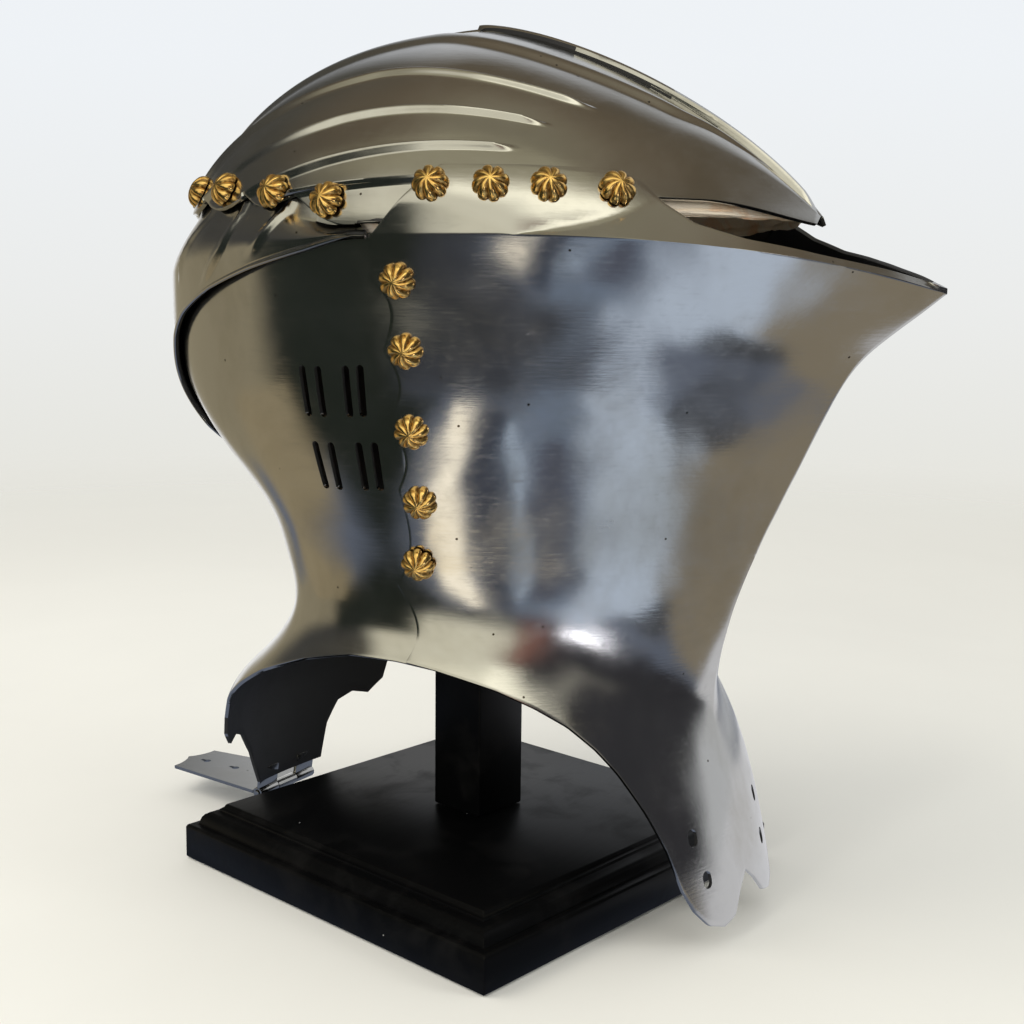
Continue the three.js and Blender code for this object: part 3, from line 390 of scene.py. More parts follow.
def face_surface(column, row):
    low = np.clip(row, 0, 1)
    end = mix(FLANGE_REAR_HIGH, FLANGE_REAR_LOW, low)
    flange = flange_point(np.where(column < 0, -column * end, 4 - column * end), low)
    share = np.clip(row - 1, 0, 1)
    end = seam_at(share * 0.78)
    for _ in range(3):
        end = seam_at(share * look_up(CHEST_HEM, end))
    around = np.abs(column) * end
    down = share * look_up(CHEST_HEM, around)
    wall = body_point(np.where(column < 0, around, 4 - around), down)
    points = np.where((row <= 1)[..., None], flange, wall)
    points[..., 0] = np.where(column == 0, 0, points[..., 0])
    return points


def hammer(piece, strength, seed):
    """Lets a plate stray a little from its true surface, as one that was hammered by hand does."""
    outwards = [vertex.normal.copy() for vertex in piece.data.vertices]
    for vertex, normal in zip(piece.data.vertices, outwards):
        place = vertex.co / (42 * MM) + Vector((seed, seed * 2, seed * 3))
        stray = noise.noise(Vector((place.x, place.y, place.z * 0.45))) + 0.4 * noise.noise(place * 2.3)
        vertex.co += normal * (strength * MM * stray)


def make_face_plate(material):
    columns = np.unique(np.concatenate([np.linspace(-1, 1, 193), [-0.012, -0.005, 0.005, 0.012]]))
    rows = np.unique(np.concatenate([np.linspace(0, 0.94, 12), [0.965, 0.985, 1.0, 1.002, 1.005],
                                     1 + np.linspace(0.009, 1, 132)]))
    piece = shaped_grid("helm_face_plate", columns, rows, face_surface)
    smooth_where(piece, lambda p: (p[:, 2] > 320) & (np.abs(p[:, 0]) > 0.1), 2)
    hammer(piece, 0.5, 1.7)
    thicken(piece, PLATE, even=False)
    holes = [rounded_slot_tool(mirror(around, left), down, 6.5, 9.0)
             for around, down in CHEST_HOLES for left in (False, True)]
    cut_away(piece, holes)
    mark_inside(piece)
    return finish(piece, HELM, ["face_plate"], material)


def mirror(around, left):
    return 4 - around if left else around


def back_surface(around, share):
    place = np.where(around > 2, 4 - around, around)
    down = share * look_up(BACK_HEM, place)
    return raised(body_point, around, down, np.full(np.shape(down), -LAYER))


def make_back_plate(material):
    hem_places = [row[0] for row in BACK_HEM if row[0] > 0.8]
    half = np.unique(np.concatenate([np.linspace(SEAM_LAP, 2, 86), hem_places]))
    columns = np.unique(np.concatenate([half, 4 - half]))
    piece = shaped_grid("helm_back_plate", columns, np.linspace(0, 1, 120), back_surface)
    hammer(piece, 0.3, 4.1)
    thicken(piece, PLATE)
    slots = [rounded_slot_tool(mirror(around, left), down, 4.2, 25)
             for around, down in SLOTS for left in (False, True)]
    cut_away(piece, slots)
    mark_inside(piece)
    return finish(piece, HELM, ["back_plate"], material)


def nape_plain(around, row):
    """Points of the nape plate: rows 0 to 1 go from under the skull to its rim, 1 to 2 over the rim."""
    place = np.where(around > 2, 4 - around, around)
    shoulder = mix(0.04, 0.105, ease((place - 0.93) / 0.16))
    hidden, joined = 0.14, 0.38
    edge = look_up(NAPE_EDGE, place)
    rim = np.minimum(NAPE_RIM / BODY_HEIGHT, edge * 0.8)
    meet = np.minimum(0.045, (edge - rim) * 0.5)
    down = mix(meet, edge - rim, np.clip((row - joined) / (1 - joined), 0, 1)) + rim * np.clip(row - 1, 0, 1)
    up = mix(0.28, shoulder, np.clip(row / hidden, 0, 1))
    inner, outer = np.full(np.shape(up), -LAYER - FACET_GAP), np.full(np.shape(up), FACET_GAP * 1.8)
    upper = raised(dome_ring, around, up, inner)
    lower = raised(body_point, around, down, outer)
    bend = np.clip((row - hidden) / (joined - hidden), 0, 1)[..., None]
    corner = raised(body_point, around, np.zeros(np.shape(down)), outer)
    bent = upper * (1 - bend) ** 2 + corner * 2 * bend * (1 - bend) + lower * bend ** 2
    return np.where((row <= joined)[..., None], bent, lower)


def nape_lift(points, around, row):
    """The rolled rim and the flutes that carry on those of the skull."""
    place = np.where(around > 2, 4 - around, around)
    across = np.clip(np.abs(row - 1.62) / 0.34, 0, 1)
    lift = 1.1 * np.sqrt(1 - across ** 2) - 0.25 * (1 - ease(np.abs(row - 1.08) / 0.16))
    turn = np.stack([place * NAPE_TURN, points[..., 2]], -1)
    for line in NAPE_FLUTES:
        line = np.array(line, float) * (NAPE_TURN, 1)
        nearest = np.full(np.shape(place), 99.0)
        for start, end in zip(line[:-1], line[1:]):
            share = np.clip(((turn - start) @ (end - start)) / ((end - start) @ (end - start)), 0, 1)
            off = turn - start - share[..., None] * (end - start)
            nearest = np.minimum(nearest, np.linalg.norm(off, axis=-1))
        reach = np.clip((turn[..., 1] - line[-1, 1]) / 16, 0, 1)
        lift = lift + 1.7 * (1 - ease(nearest / 4.2)) * ease(reach)
    return lift


def nape_surface(around, row):
    points = nape_plain(around, row)
    lift = nape_lift(points, around, row)
    return points + normals(nape_plain, around, row, 0.006) * lift[..., None]


def make_nape_plate(material):
    half = np.linspace(0.866, 2, 170)
    columns = np.unique(np.concatenate([half, 4 - half]))
    rows = np.unique(np.concatenate([np.linspace(0, 0.14, 6), np.linspace(0.16, 0.38, 20),
                                     np.linspace(0.39, 1, 70),
                                     np.linspace(1, 2, 17)]))
    piece = shaped_grid("helm_nape_plate", columns, rows, nape_surface)
    thicken(piece, PLATE, even=False)
    mark_inside(piece)
    return finish(piece, HELM, ["nape_plate"], material)


def skull_edge(row):
    rows = np.array([0.0] + [flute[0] for flute in FLUTES])
    starts = np.array([SKULL_EDGE_FROM] + [flute[1] for flute in FLUTES])
    index = np.clip(np.searchsorted(rows, row, side="left") - 1, 0, len(rows) - 2)
    share = (row - rows[index]) / (rows[index + 1] - rows[index])
    cusp = np.where(index == 0, mix(SKULL_EDGE_START, SKULL_EDGE_RISE, share), SKULL_EDGE_RISE)
    around = mix(starts[index], starts[index + 1], share)
    return around, cusp - SCALLOP_DEPTH * np.sin(np.pi * share)


def brow_rise(y):
    fore = -y / SKULL_FRONT
    high = mix(BROW_LOW, BROW_HIGH, ease((fore - 0.62) / 0.1))
    return SKULL_HEIGHT * (high - BROW_DIP * ease((fore - 0.78) / 0.25))


def climb_at(y, rise):
    return np.arcsin(np.clip(rise / (SKULL_HEIGHT * crest_up(y) + 1e-9), 0, 1)) * 2 / np.pi


def skull_plain(line, along):
    """Points of the skull. Lines 0 to 1 climb its right side to the crest, 1 to 2 go down its left side."""
    side = np.where(line < 1, -1.0, 1.0)
    row = np.maximum(0, 1 - np.abs(1 - line))
    around, rise = skull_edge(row)
    start = dome_ring(around, rise / SKULL_HEIGHT)[..., 1]
    y = mix(start, -SKULL_FRONT * 0.965, along)
    settled = 1 - (1 - np.clip(along / FLUTE_REACH, 0, 1)) ** mix(1.1, 3.0, row)
    front = mix(climb_at(y, brow_rise(y)), 1, row ** FLUTE_FAN)
    climb = np.where(row >= 1, 1, mix(climb_at(start, rise), front, settled))
    up = crest_up(y) * np.sin(np.clip(climb, 0, 1) * np.pi / 2)
    return np.stack([side * dome_half(y, up), y, LIP_HEIGHT + SKULL_HEIGHT * up], -1)


def flute_lift(row, along):
    """How far the flutes stand out: narrow rolled ribs, a broad one beside the crest, the crest's bead."""
    lift = np.zeros(np.shape(row))
    for place, _, front, half in FLUTES[:4]:
        # The rib's upper side is the steeper one
        across = (row - place) / half
        across = np.clip(np.where(across > 0, across / 0.75, -across / 1.35), 0, 1)
        lift += RIB_HEIGHT * (1 - ease(across)) * ease((front - along) / 0.05)
    across = np.clip(np.abs(row - 0.76) / 0.055, 0, 1)
    lift += BROAD_RIB_HEIGHT * (1 - ease(across)) * ease((0.97 - along) / 0.2)
    across = np.clip((1 - row) / 0.03, 0, 1)
    groove = np.clip(np.abs(row - 0.955) / 0.018, 0, 1)
    bead = CREST_BEAD * (1 - across ** 2.5) - BEAD_GROOVE * (1 - ease(groove))
    return lift - CREST_SINK * ease((row - 0.55) / 0.45) + bead * ease((1.0 - along) / 0.03)


def skull_surface(line, along):
    lift = flute_lift(1 - np.abs(1 - line), along)
    return skull_plain(line, along) + normals(skull_plain, line, along, 0.003) * lift[..., None]


def make_skull(material):
    fine = [np.linspace(0, 1, 61), np.linspace(0.70, 0.82, 13), np.linspace(0.935, 1.0, 20)]
    fine += [np.linspace(place - half * 1.4, place + half * 0.9, 13) for place, _, _, half in FLUTES[:4]]
    half = spaced(np.concatenate(fine), EVEN_STEP)
    lines = np.concatenate([half, 2 - half[-2::-1]])
    piece = shaped_grid("helm_skull", lines, np.linspace(0, 1, 150), skull_surface)
    thicken(piece, PLATE, even=False)
    mark_inside(piece)
    return finish(piece, HELM, ["skull"], material)


# Rivets
RIVET_LOBES = 8


def make_rivet_head():
    """A domed head with turned lobes, its flat underside on z = 0."""
    bpy.ops.mesh.primitive_uv_sphere_add(segments=64, ring_count=28, radius=RIVET_DIAMETER / 2 * MM)
    head = bpy.context.active_object
    bpy.ops.object.mode_set(mode="EDIT")
    bpy.ops.mesh.select_all(action="SELECT")
    bpy.ops.mesh.bisect(plane_co=(0, 0, 0), plane_no=(0, 0, 1), use_fill=True, clear_inner=True)
    bpy.ops.object.mode_set(mode="OBJECT")
    # The groove attribute holds how deep each point lies in a valley between the lobes; the brass material
    # paints shade there
    groove = head.data.attributes.new("groove", "FLOAT", "POINT")
    radius = RIVET_DIAMETER / 2 * MM
    for vertex in head.data.vertices:
        x, y, z = vertex.co
        out = math.hypot(x, y) / radius
        turn = math.atan2(y, x) + 0.35 * (1 - out)
        lobe = abs(math.cos(RIVET_LOBES / 2 * turn))
        valley = (1 - lobe) ** 1.7 * min(1.0, out * 2.6)
        groove.data[vertex.index].value = valley
        shrink = 1 - 0.2 * valley
        crown = (z / radius) ** 0.86 * RIVET_HEIGHT * MM
        vertex.co = (x * shrink, y * shrink, crown * (1 - 0.3 * valley * out))
    head.data.update()
    return head


def cad_seat(node, normal):
    """The middle of the underside of a rivet of the model."""
    places = {tuple(round(c, 6) for c in vertex.co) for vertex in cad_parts[node].data.vertices}
    middle = sum((Vector(place) for place in places), Vector()) / len(places)
    heights = [(Vector(place) - middle).dot(normal) for place in places]
    return middle + normal * min(heights)


def make_rivets(material):
    pattern = make_rivet_head()
    rows = (("seam", SEAM_RIVETS, body_point), ("flange", FLANGE_RIVETS, dome_ring),
            ("nape", NAPE_RIVETS, dome_ring))
    count = 0
    for kind, places, surface in rows:
        for number, (around, down) in enumerate(places, 1):
            for side in ("right", "left"):
                node = f"{kind}_rivet_{side}_{number}"
                place = np.asarray(mirror(around, side == "left"), float)
                normal = Vector(normals(surface, place, np.asarray(down, float)))
                turn = Vector((0, 0, 1)).rotation_difference(normal).to_matrix().to_4x4()
                spin = Matrix.Rotation(1.7 * count, 4, "Z")
                rivet = pattern.copy()
                rivet.data = pattern.data.copy()
                rivet.name = "brass_" + node
                bpy.context.scene.collection.objects.link(rivet)
                rivet.data.transform(Matrix.Translation(cad_seat(node, normal)) @ turn @ spin)
                finish(rivet, HELM, [node], material, angle=60)
                count += 1
    bpy.data.objects.remove(pattern)


# The leather inside
LINER_HEM = ((0.00, 0.01), (0.60, 0.01), (0.72, 0.07), (0.80, 0.24), (1.20, 0.26), (2.00, 0.24))
LINER_WALL, LINER_SAG, LINER_STAND_OFF = 2.5, 8, 6.9
CAP_SHARE = 0.7


def leather_folds(around, low):
    """Creases of the soft leather, in millimetres towards the inside."""
    out = np.empty(np.shape(around))
    flat_out, flat_a, flat_b = out.ravel(), np.ravel(around), np.ravel(low)
    for i in range(flat_out.size):
        turn = flat_a[i] * math.pi / 2
        place = Vector((math.cos(turn) * 3.1, math.sin(turn) * 3.1, flat_b[i] * 4.2))
        fold = noise.noise(place * 1.4) + 0.5 * noise.noise(place * 3.1 + Vector((5, 1, 2)))
        flat_out[i] = 1.6 * (0.5 + fold) + 0.5 * abs(noise.noise(place * 7))
    return np.clip(out, 0, 3.2)


def liner_surface(around, low):
    around = np.clip(around, 0, 4)
    side = np.where(around > 2, 1.0, -1.0)
    place = np.where(around > 2, 4 - around, around)
    ends = 0.12 * (1 - ease((place - 0.5) / 0.25))
    cap = np.cos(np.clip(low / CAP_SHARE, 0, 1) * np.pi / 2)
    up = mix(ends, 1, cap)
    folds = leather_folds(around, low) * ease((1 - up) / 0.1)
    inset = LAYER + PLATE + LINER_SAG * up ** 2 + folds
    ring = dome_ring(place, up)
    out = np.hypot(ring[..., 0], ring[..., 1]) + 1e-6
    shrink = np.maximum(0, 1 - inset * 1.05 / out)
    drop = (PLATE + LINER_SAG * up ** 2) * up
    share = np.clip((low - CAP_SHARE) / (1 - CAP_SHARE), 0, 1)
    hem = look_up(LINER_HEM, place) * share
    wall = raised(body_point, place, hem, -LINER_STAND_OFF - folds)
    blend = np.where(place < 0.72, 0, ease(share * 2))
    x = mix(np.abs(ring[..., 0]) * shrink, np.abs(wall[..., 0]), blend)
    y = mix(ring[..., 1] * shrink, wall[..., 1], blend)
    z = np.where(low <= CAP_SHARE, ring[..., 2] - drop,
                 mix(ring[..., 2] - drop - hem * BODY_HEIGHT, wall[..., 2], blend))
    return np.stack([side * x, y, z], -1)


def make_liner(material):
    piece = shaped_grid("leather_cap", np.linspace(0, 4, 241), np.linspace(0, 1, 90), liner_surface)
    active(piece)
    bpy.ops.object.mode_set(mode="EDIT")
    bpy.ops.mesh.select_all(action="SELECT")
    bpy.ops.mesh.remove_doubles(threshold=0.00002)
    bpy.ops.object.mode_set(mode="OBJECT")
    face_outwards(piece)
    modify(piece, "SOLIDIFY", thickness=LINER_WALL * MM, offset=-1.0, use_rim=True)
    modify(piece, "BEVEL", width=0.8 * MM, segments=3, limit_method="ANGLE", angle_limit=math.radians(60))
    finish(piece, HELM, ["leather_liner"], material, angle=70)
    return piece


# The hasp and its hinge
HINGE_BACK, HINGE_HEIGHT = 148, 16
KNUCKLE_DIAMETER, PIN_DIAMETER, PIN_GAP = 7, 3, 0.35
HASP_ROOT_WIDTH = 51


def bevelled_copy(node, name, width, body, material):
    """A copy of a solid of the model with its loose faces welded and its edges rounded."""
    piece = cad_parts[node].copy()
    piece.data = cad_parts[node].data.copy()
    piece.name = name
    piece.parent = None
    for key in list(piece.keys()):
        del piece[key]
    bpy.context.scene.collection.objects.link(piece)
    active(piece)
    bpy.ops.object.mode_set(mode="EDIT")
    bpy.ops.mesh.select_all(action="SELECT")
    bpy.ops.mesh.remove_doubles(threshold=0.00001)
    bpy.ops.mesh.dissolve_limited(angle_limit=math.radians(3))
    bpy.ops.object.mode_set(mode="OBJECT")
    modify(piece, "BEVEL", width=width * MM, segments=2, limit_method="ANGLE", angle_limit=math.radians(40))
    return finish(piece, body, [node], material, angle=20)


def dress_hasp(material):
    """The model's own flat pierced plate, with its crisp edges, in the helm's steel."""
    for material_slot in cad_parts["hasp"].material_slots:
        material_slot.material = material


def tube(name, low, high):
    bpy.ops.mesh.primitive_cylinder_add(vertices=40, radius=KNUCKLE_DIAMETER / 2 * MM,
                                        depth=(high - low) * MM)
    piece = bpy.context.active_object
    piece.name = name
    bpy.ops.mesh.primitive_cylinder_add(vertices=40, radius=(PIN_DIAMETER / 2 + PIN_GAP) * MM, depth=0.2)
    cut_away(piece, [bpy.context.active_object])
    modify(piece, "BEVEL", width=0.4 * MM, segments=2, limit_method="ANGLE", angle_limit=math.radians(50))
    turn = Matrix.Rotation(math.pi / 2, 4, "Y")
    place = Matrix.Translation(Vector(((low + high) / 2, HINGE_BACK, HINGE_HEIGHT)) * MM)
    piece.data.transform(place @ turn)
    return piece


def make_hinge(material):
    root = HASP_ROOT_WIDTH / 2
    split = HASP_ROOT_WIDTH / 6 + PIN_GAP
    foot = body_point(2.0, 0.995)
    top = Vector((0, foot[1] - LAYER - PLATE * 0.8, foot[2] + 8))
    low = Vector((0, HINGE_BACK - 0.6, HINGE_HEIGHT + KNUCKLE_DIAMETER * 0.36))
    for name, left, right in (("hinge_leaf_right", -root, -split), ("hinge_leaf_left", split, root)):
        bpy.ops.mesh.primitive_cube_add(size=1)
        leaf = bpy.context.active_object
        leaf.name = name
        length = (top - low).length
        tilt = (top - low).normalized()
        out = Vector((1, 0, 0)).cross(tilt)
        edges = ((right - left) * Vector((1, 0, 0)), PLATE * 1.1 * out, length * tilt)
        basis = Matrix(edges).transposed().to_4x4()
        middle = (top + low) / 2 + Vector(((left + right) / 2, 0, 0))
        leaf.data.transform(Matrix.Scale(MM, 4) @ Matrix.Translation(middle) @ basis)
        modify(leaf, "BEVEL", width=0.4 * MM, segments=2)
        barrel = tube(name + "_barrel", left, right)
        for piece in (leaf, barrel):
            finish(piece, HELM, [], material)
    return bevelled_copy("hinge_pin", "hinge_rod", 0.3, HELM, material)


# The stand
POST_SIDE, STAND_TURN = 36, -10.8
BASE_PROFILE = ((119.0, 0.0), (120.0, 1.0), (120.0, 18.2), (119.4, 19.4), (118.2, 20.0), (115.2, 20.0),
                (114.6, 20.3), (114.4, 21.2), (113.6, 23.6), (111.8, 25.8), (109.4, 27.2), (107.0, 27.8),
                (106.2, 28.2), (106.0, 29.0), (105.0, 29.4), (104.2, 30.2), (103.6, 31.4), (102.6, 32.0))


def built_up(name, profile, sides, spin):
    """A block built by drawing its top face up and in, step by step along a profile."""
    first = profile[0]
    corner = 1 / math.cos(math.pi / sides)
    bpy.ops.mesh.primitive_circle_add(vertices=sides, radius=first[0] * corner * MM, fill_type="NGON",
                                      location=(0, 0, first[1] * MM), rotation=(0, 0, spin))
    piece = bpy.context.active_object
    piece.name = name
    bpy.ops.object.transform_apply(location=True, rotation=True, scale=True)
    bpy.ops.object.mode_set(mode="EDIT")
    bpy.ops.mesh.select_all(action="SELECT")
    reach, height = first
    for next_reach, next_height in profile[1:]:
        rise = (next_height - height) * MM
        bpy.ops.mesh.extrude_region_move(TRANSFORM_OT_translate={"value": (0, 0, rise)})
        scale = next_reach / reach
        bpy.ops.transform.resize(value=(scale, scale, 1), center_override=(0, 0, 0))
        reach, height = next_reach, next_height
    bpy.ops.mesh.select_all(action="SELECT")
    bpy.ops.mesh.normals_make_consistent(inside=False)
    bpy.ops.object.mode_set(mode="OBJECT")
    return piece


def make_stand(material):
    turn = math.radians(STAND_TURN)
    base = built_up("stand_moulded_base", BASE_PROFILE, 4, math.pi / 4 + turn)
    modify(base, "BEVEL", width=0.9 * MM, segments=2, limit_method="ANGLE", angle_limit=math.radians(75))
    finish(base, HELM, ["stand_base"], material, angle=32)
    low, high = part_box("stand_post")
    post = built_up("stand_square_post", ((POST_SIDE / 2, low.z / MM), (POST_SIDE / 2, high.z / MM)), 4,
                    math.pi / 4 + turn)
    modify(post, "BEVEL", width=1.1 * MM, segments=3)
    finish(post, HELM, ["stand_post"], material)
    low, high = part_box("stand_rest")
    bottom, top = low.z / MM, high.z / MM
    profile = ((30, bottom), (31.6, bottom + 0.5), (32, bottom + 2), (32, top - 24.6), (31.4, top - 22.6),
               (21, top - 14.2), (10, top - 8.2), (4, top - 4.0), (1.2, top - 1.4))
    rest = built_up("stand_round_rest", profile, 64, 0)
    finish(rest, HELM, ["stand_rest"], material, angle=50)


# Materials
def group_tree(name, inputs, outputs):
    tree = bpy.data.node_groups.new(name, "ShaderNodeTree")
    for label, kind, value in inputs:
        socket = tree.interface.new_socket(label, in_out="INPUT", socket_type="NodeSocket" + kind)
        if value is not None:
            socket.default_value = value
    for label, kind in outputs:
        tree.interface.new_socket(label, in_out="OUTPUT", socket_type="NodeSocket" + kind)
    return tree, tree.nodes.new("NodeGroupInput"), tree.nodes.new("NodeGroupOutput")


def add_node(tree, kind, links=(), **values):
    """A node with its settings by name, and its inputs fed by (input, source) pairs."""
    node = tree.nodes.new("ShaderNode" + kind)
    for name, value in values.items():
        setattr(node, name, value)
    for name, source in links:
        if isinstance(source, bpy.types.NodeSocket):
            tree.links.new(source, node.inputs[name])
        else:
            node.inputs[name].default_value = source
    return node


def ramp(tree, source, stops):
    node = add_node(tree, "ValToRGB", [("Fac", source)])
    line = node.color_ramp
    line.elements[0].position, line.elements[0].color = stops[0][0], (*stops[0][1], 1)
    line.elements[1].position, line.elements[1].color = stops[-1][0], (*stops[-1][1], 1)
    for place, colour in stops[1:-1]:
        line.elements.new(place).color = (*colour, 1)
    return node.outputs["Color"]


def stretch(tree, source, low, high, out_low=0.0, out_high=1.0):
    node = add_node(tree, "MapRange", [("Value", source), ("From Min", low), ("From Max", high),
                                       ("To Min", out_low), ("To Max", out_high)])
    return node.outputs["Result"]


def make_polish_marks():
    """Fine scratches of a polishing wheel, in two crossing directions: a height and a mask."""
    tree, given, result = group_tree(
        "polish marks", [("Place", "Vector", None), ("Scale", "Float", 1.0)],
        [("Height", "Float"), ("Mask", "Float")])
    total = None
    for turn, size in (((0.35, 0.2, 0.9), (60, 60, 900)), ((0.9, 0.1, -0.5), (420, 38, 420))):
        place = add_node(tree, "Mapping", [("Vector", given.outputs["Place"]), ("Rotation", turn),
                                           ("Scale", size)]).outputs["Vector"]
        scratch = add_node(tree, "TexNoise", [("Vector", place), ("Scale", given.outputs["Scale"]),
                                              ("Detail", 3.0), ("Roughness", 0.6)])
        line = stretch(tree, scratch.outputs["Fac"], 0.35, 0.7)
        total = line if total is None else add_node(
            tree, "Math", [(0, total), (1, line)], operation="ADD").outputs[0]
    half = add_node(tree, "Math", [(0, total), (1, 0.5)], operation="MULTIPLY").outputs[0]
    tree.links.new(half, result.inputs["Height"])
    tree.links.new(stretch(tree, half, 0.5, 0.85), result.inputs["Mask"])
    return tree


def make_blotches():
    """Soft uneven patches, such as finger marks and tarnish."""
    tree, given, result = group_tree(
        "blotches", [("Place", "Vector", None), ("Scale", "Float", 10.0), ("Low", "Float", 0.4),
                     ("High", "Float", 0.65)], [("Mask", "Float")])
    cloud = add_node(tree, "TexNoise", [("Vector", given.outputs["Place"]), ("Scale", given.outputs["Scale"]),
                                        ("Detail", 5.0), ("Roughness", 0.62), ("Distortion", 0.4)])
    mask = add_node(tree, "MapRange", [("Value", cloud.outputs["Fac"]), ("From Min", given.outputs["Low"]),
                                       ("From Max", given.outputs["High"])])
    tree.links.new(mask.outputs["Result"], result.inputs["Mask"])
    return tree


def make_specks():
    """Small scattered specks: pits in steel, dust on lacquer."""
    tree, given, result = group_tree(
        "specks", [("Place", "Vector", None), ("Scale", "Float", 100.0), ("Size", "Float", 0.1),
                   ("Share", "Float", 0.5)], [("Mask", "Float")])
    cells = add_node(tree, "TexVoronoi", [("Vector", given.outputs["Place"]),
                                          ("Scale", given.outputs["Scale"])])
    spot = add_node(tree, "Math", [(0, cells.outputs["Distance"]), (1, given.outputs["Size"])],
                    operation="LESS_THAN").outputs[0]
    apart = add_node(tree, "SeparateColor", [("Color", cells.outputs["Color"])])
    chosen = add_node(tree, "Math", [(0, apart.outputs["Red"]), (1, given.outputs["Share"])],
                      operation="LESS_THAN").outputs[0]
    mask = add_node(tree, "Math", [(0, spot), (1, chosen)], operation="MULTIPLY").outputs[0]
    tree.links.new(mask, result.inputs["Mask"])
    return tree


POLISH_MARKS, BLOTCHES, SPECKS = make_polish_marks(), make_blotches(), make_specks()


def use_group(tree, group, **values):
    node = tree.nodes.new("ShaderNodeGroup")
    node.node_tree = group
    for name, value in values.items():
        if isinstance(value, bpy.types.NodeSocket):
            tree.links.new(value, node.inputs[name])
        else:
            node.inputs[name].default_value = value
    return node


def new_material(name, colour, **values):
    material = bpy.data.materials.new(name)
    material.use_nodes = True
    material.diffuse_color = (*colour, 1)
    tree = material.node_tree
    shader = tree.nodes["Principled BSDF"]
    for label, value in values.items():
        shader.inputs[label.replace("_", " ")].default_value = value
    place = add_node(tree, "TexCoord").outputs["Object"]
    return material, tree, shader, place


def blend_colour(tree, mask, below, above, mode="MIX"):
    node = add_node(tree, "Mix", data_type="RGBA", blend_type=mode)
    for socket, source in zip((node.inputs[0], node.inputs[6], node.inputs[7]), (mask, below, above)):
        if isinstance(source, bpy.types.NodeSocket):
            tree.links.new(source, socket)
        else:
            socket.default_value = source if isinstance(source, float) else (*source, 1)
    return node.outputs[2]


def add_up(tree, *sources):
    total = sources[0]
    for source in sources[1:]:
        total = add_node(tree, "Math", [(0, total), (1, source)], operation="ADD").outputs[0]
    return total


def make_steel():
    material, tree, shader, place = new_material("polished steel", (0.55, 0.54, 0.51), Metallic=1.0)
    marks = use_group(tree, POLISH_MARKS, Place=place, Scale=1.0)
    tarnish = use_group(tree, BLOTCHES, Place=place, Scale=9.0, Low=0.46, High=0.72).outputs["Mask"]
    smears = use_group(tree, BLOTCHES, Place=place, Scale=34.0, Low=0.42, High=0.7).outputs["Mask"]
    pits = use_group(tree, SPECKS, Place=place, Scale=140.0, Size=0.09, Share=0.10).outputs["Mask"]
    colour = blend_colour(tree, tarnish, (0.60, 0.59, 0.565), (0.47, 0.45, 0.40))
    colour = blend_colour(tree, pits, colour, (0.10, 0.085, 0.07))
    # Faces that look into the helm are coloured near black, rougher and not metallic
    inside = add_node(tree, "Attribute", attribute_name="inside").outputs["Fac"]
    colour = blend_colour(tree, inside, colour, (0.022, 0.021, 0.020))
    tree.links.new(colour, shader.inputs["Base Color"])
    rough = add_up(tree, stretch(tree, smears, 0, 1, 0.12, 0.20),
                   stretch(tree, marks.outputs["Mask"], 0, 1, 0, 0.05),
                   stretch(tree, tarnish, 0, 1, 0, 0.06), stretch(tree, inside, 0, 1, 0, 0.35))
    tree.links.new(rough, shader.inputs["Roughness"])
    tree.links.new(stretch(tree, inside, 0, 1, 1.0, 0.0), shader.inputs["Metallic"])
    bump = add_node(tree, "Bump", [("Height", marks.outputs["Height"]), ("Strength", 0.06),
                                   ("Distance", 0.0002)])
    dent = add_node(tree, "Bump", [("Height", pits), ("Strength", 0.25), ("Distance", 0.0003),
                                   ("Normal", bump.outputs["Normal"])], invert=True)
    tree.links.new(dent.outputs["Normal"], shader.inputs["Normal"])
    return material


def make_brass():
    material, tree, shader, place = new_material("gilded brass", (0.8, 0.55, 0.2), Metallic=1.0)
    groove = add_node(tree, "Attribute", attribute_name="groove").outputs["Fac"]
    stain = use_group(tree, BLOTCHES, Place=place, Scale=260.0, Low=0.45, High=0.75).outputs["Mask"]
    colour = blend_colour(tree, stain, (1.0, 0.66, 0.22), (0.85, 0.46, 0.12))
    # Painted shade: the valleys between the lobes are coloured dark brown
    colour = blend_colour(tree, stretch(tree, groove, 0.3, 0.95), colour, (0.20, 0.09, 0.02))
    tree.links.new(colour, shader.inputs["Base Color"])
    rough = add_up(tree, stretch(tree, stain, 0, 1, 0.2, 0.3), stretch(tree, groove, 0, 1, 0, 0.3))
    tree.links.new(rough, shader.inputs["Roughness"])
    grain = add_node(tree, "TexNoise", [("Vector", place), ("Scale", 900.0), ("Detail", 3.0)])
    bump = add_node(tree, "Bump", [("Height", grain.outputs["Fac"]), ("Strength", 0.12),
                                   ("Distance", 0.0002)])
    tree.links.new(bump.outputs["Normal"], shader.inputs["Normal"])
    return material


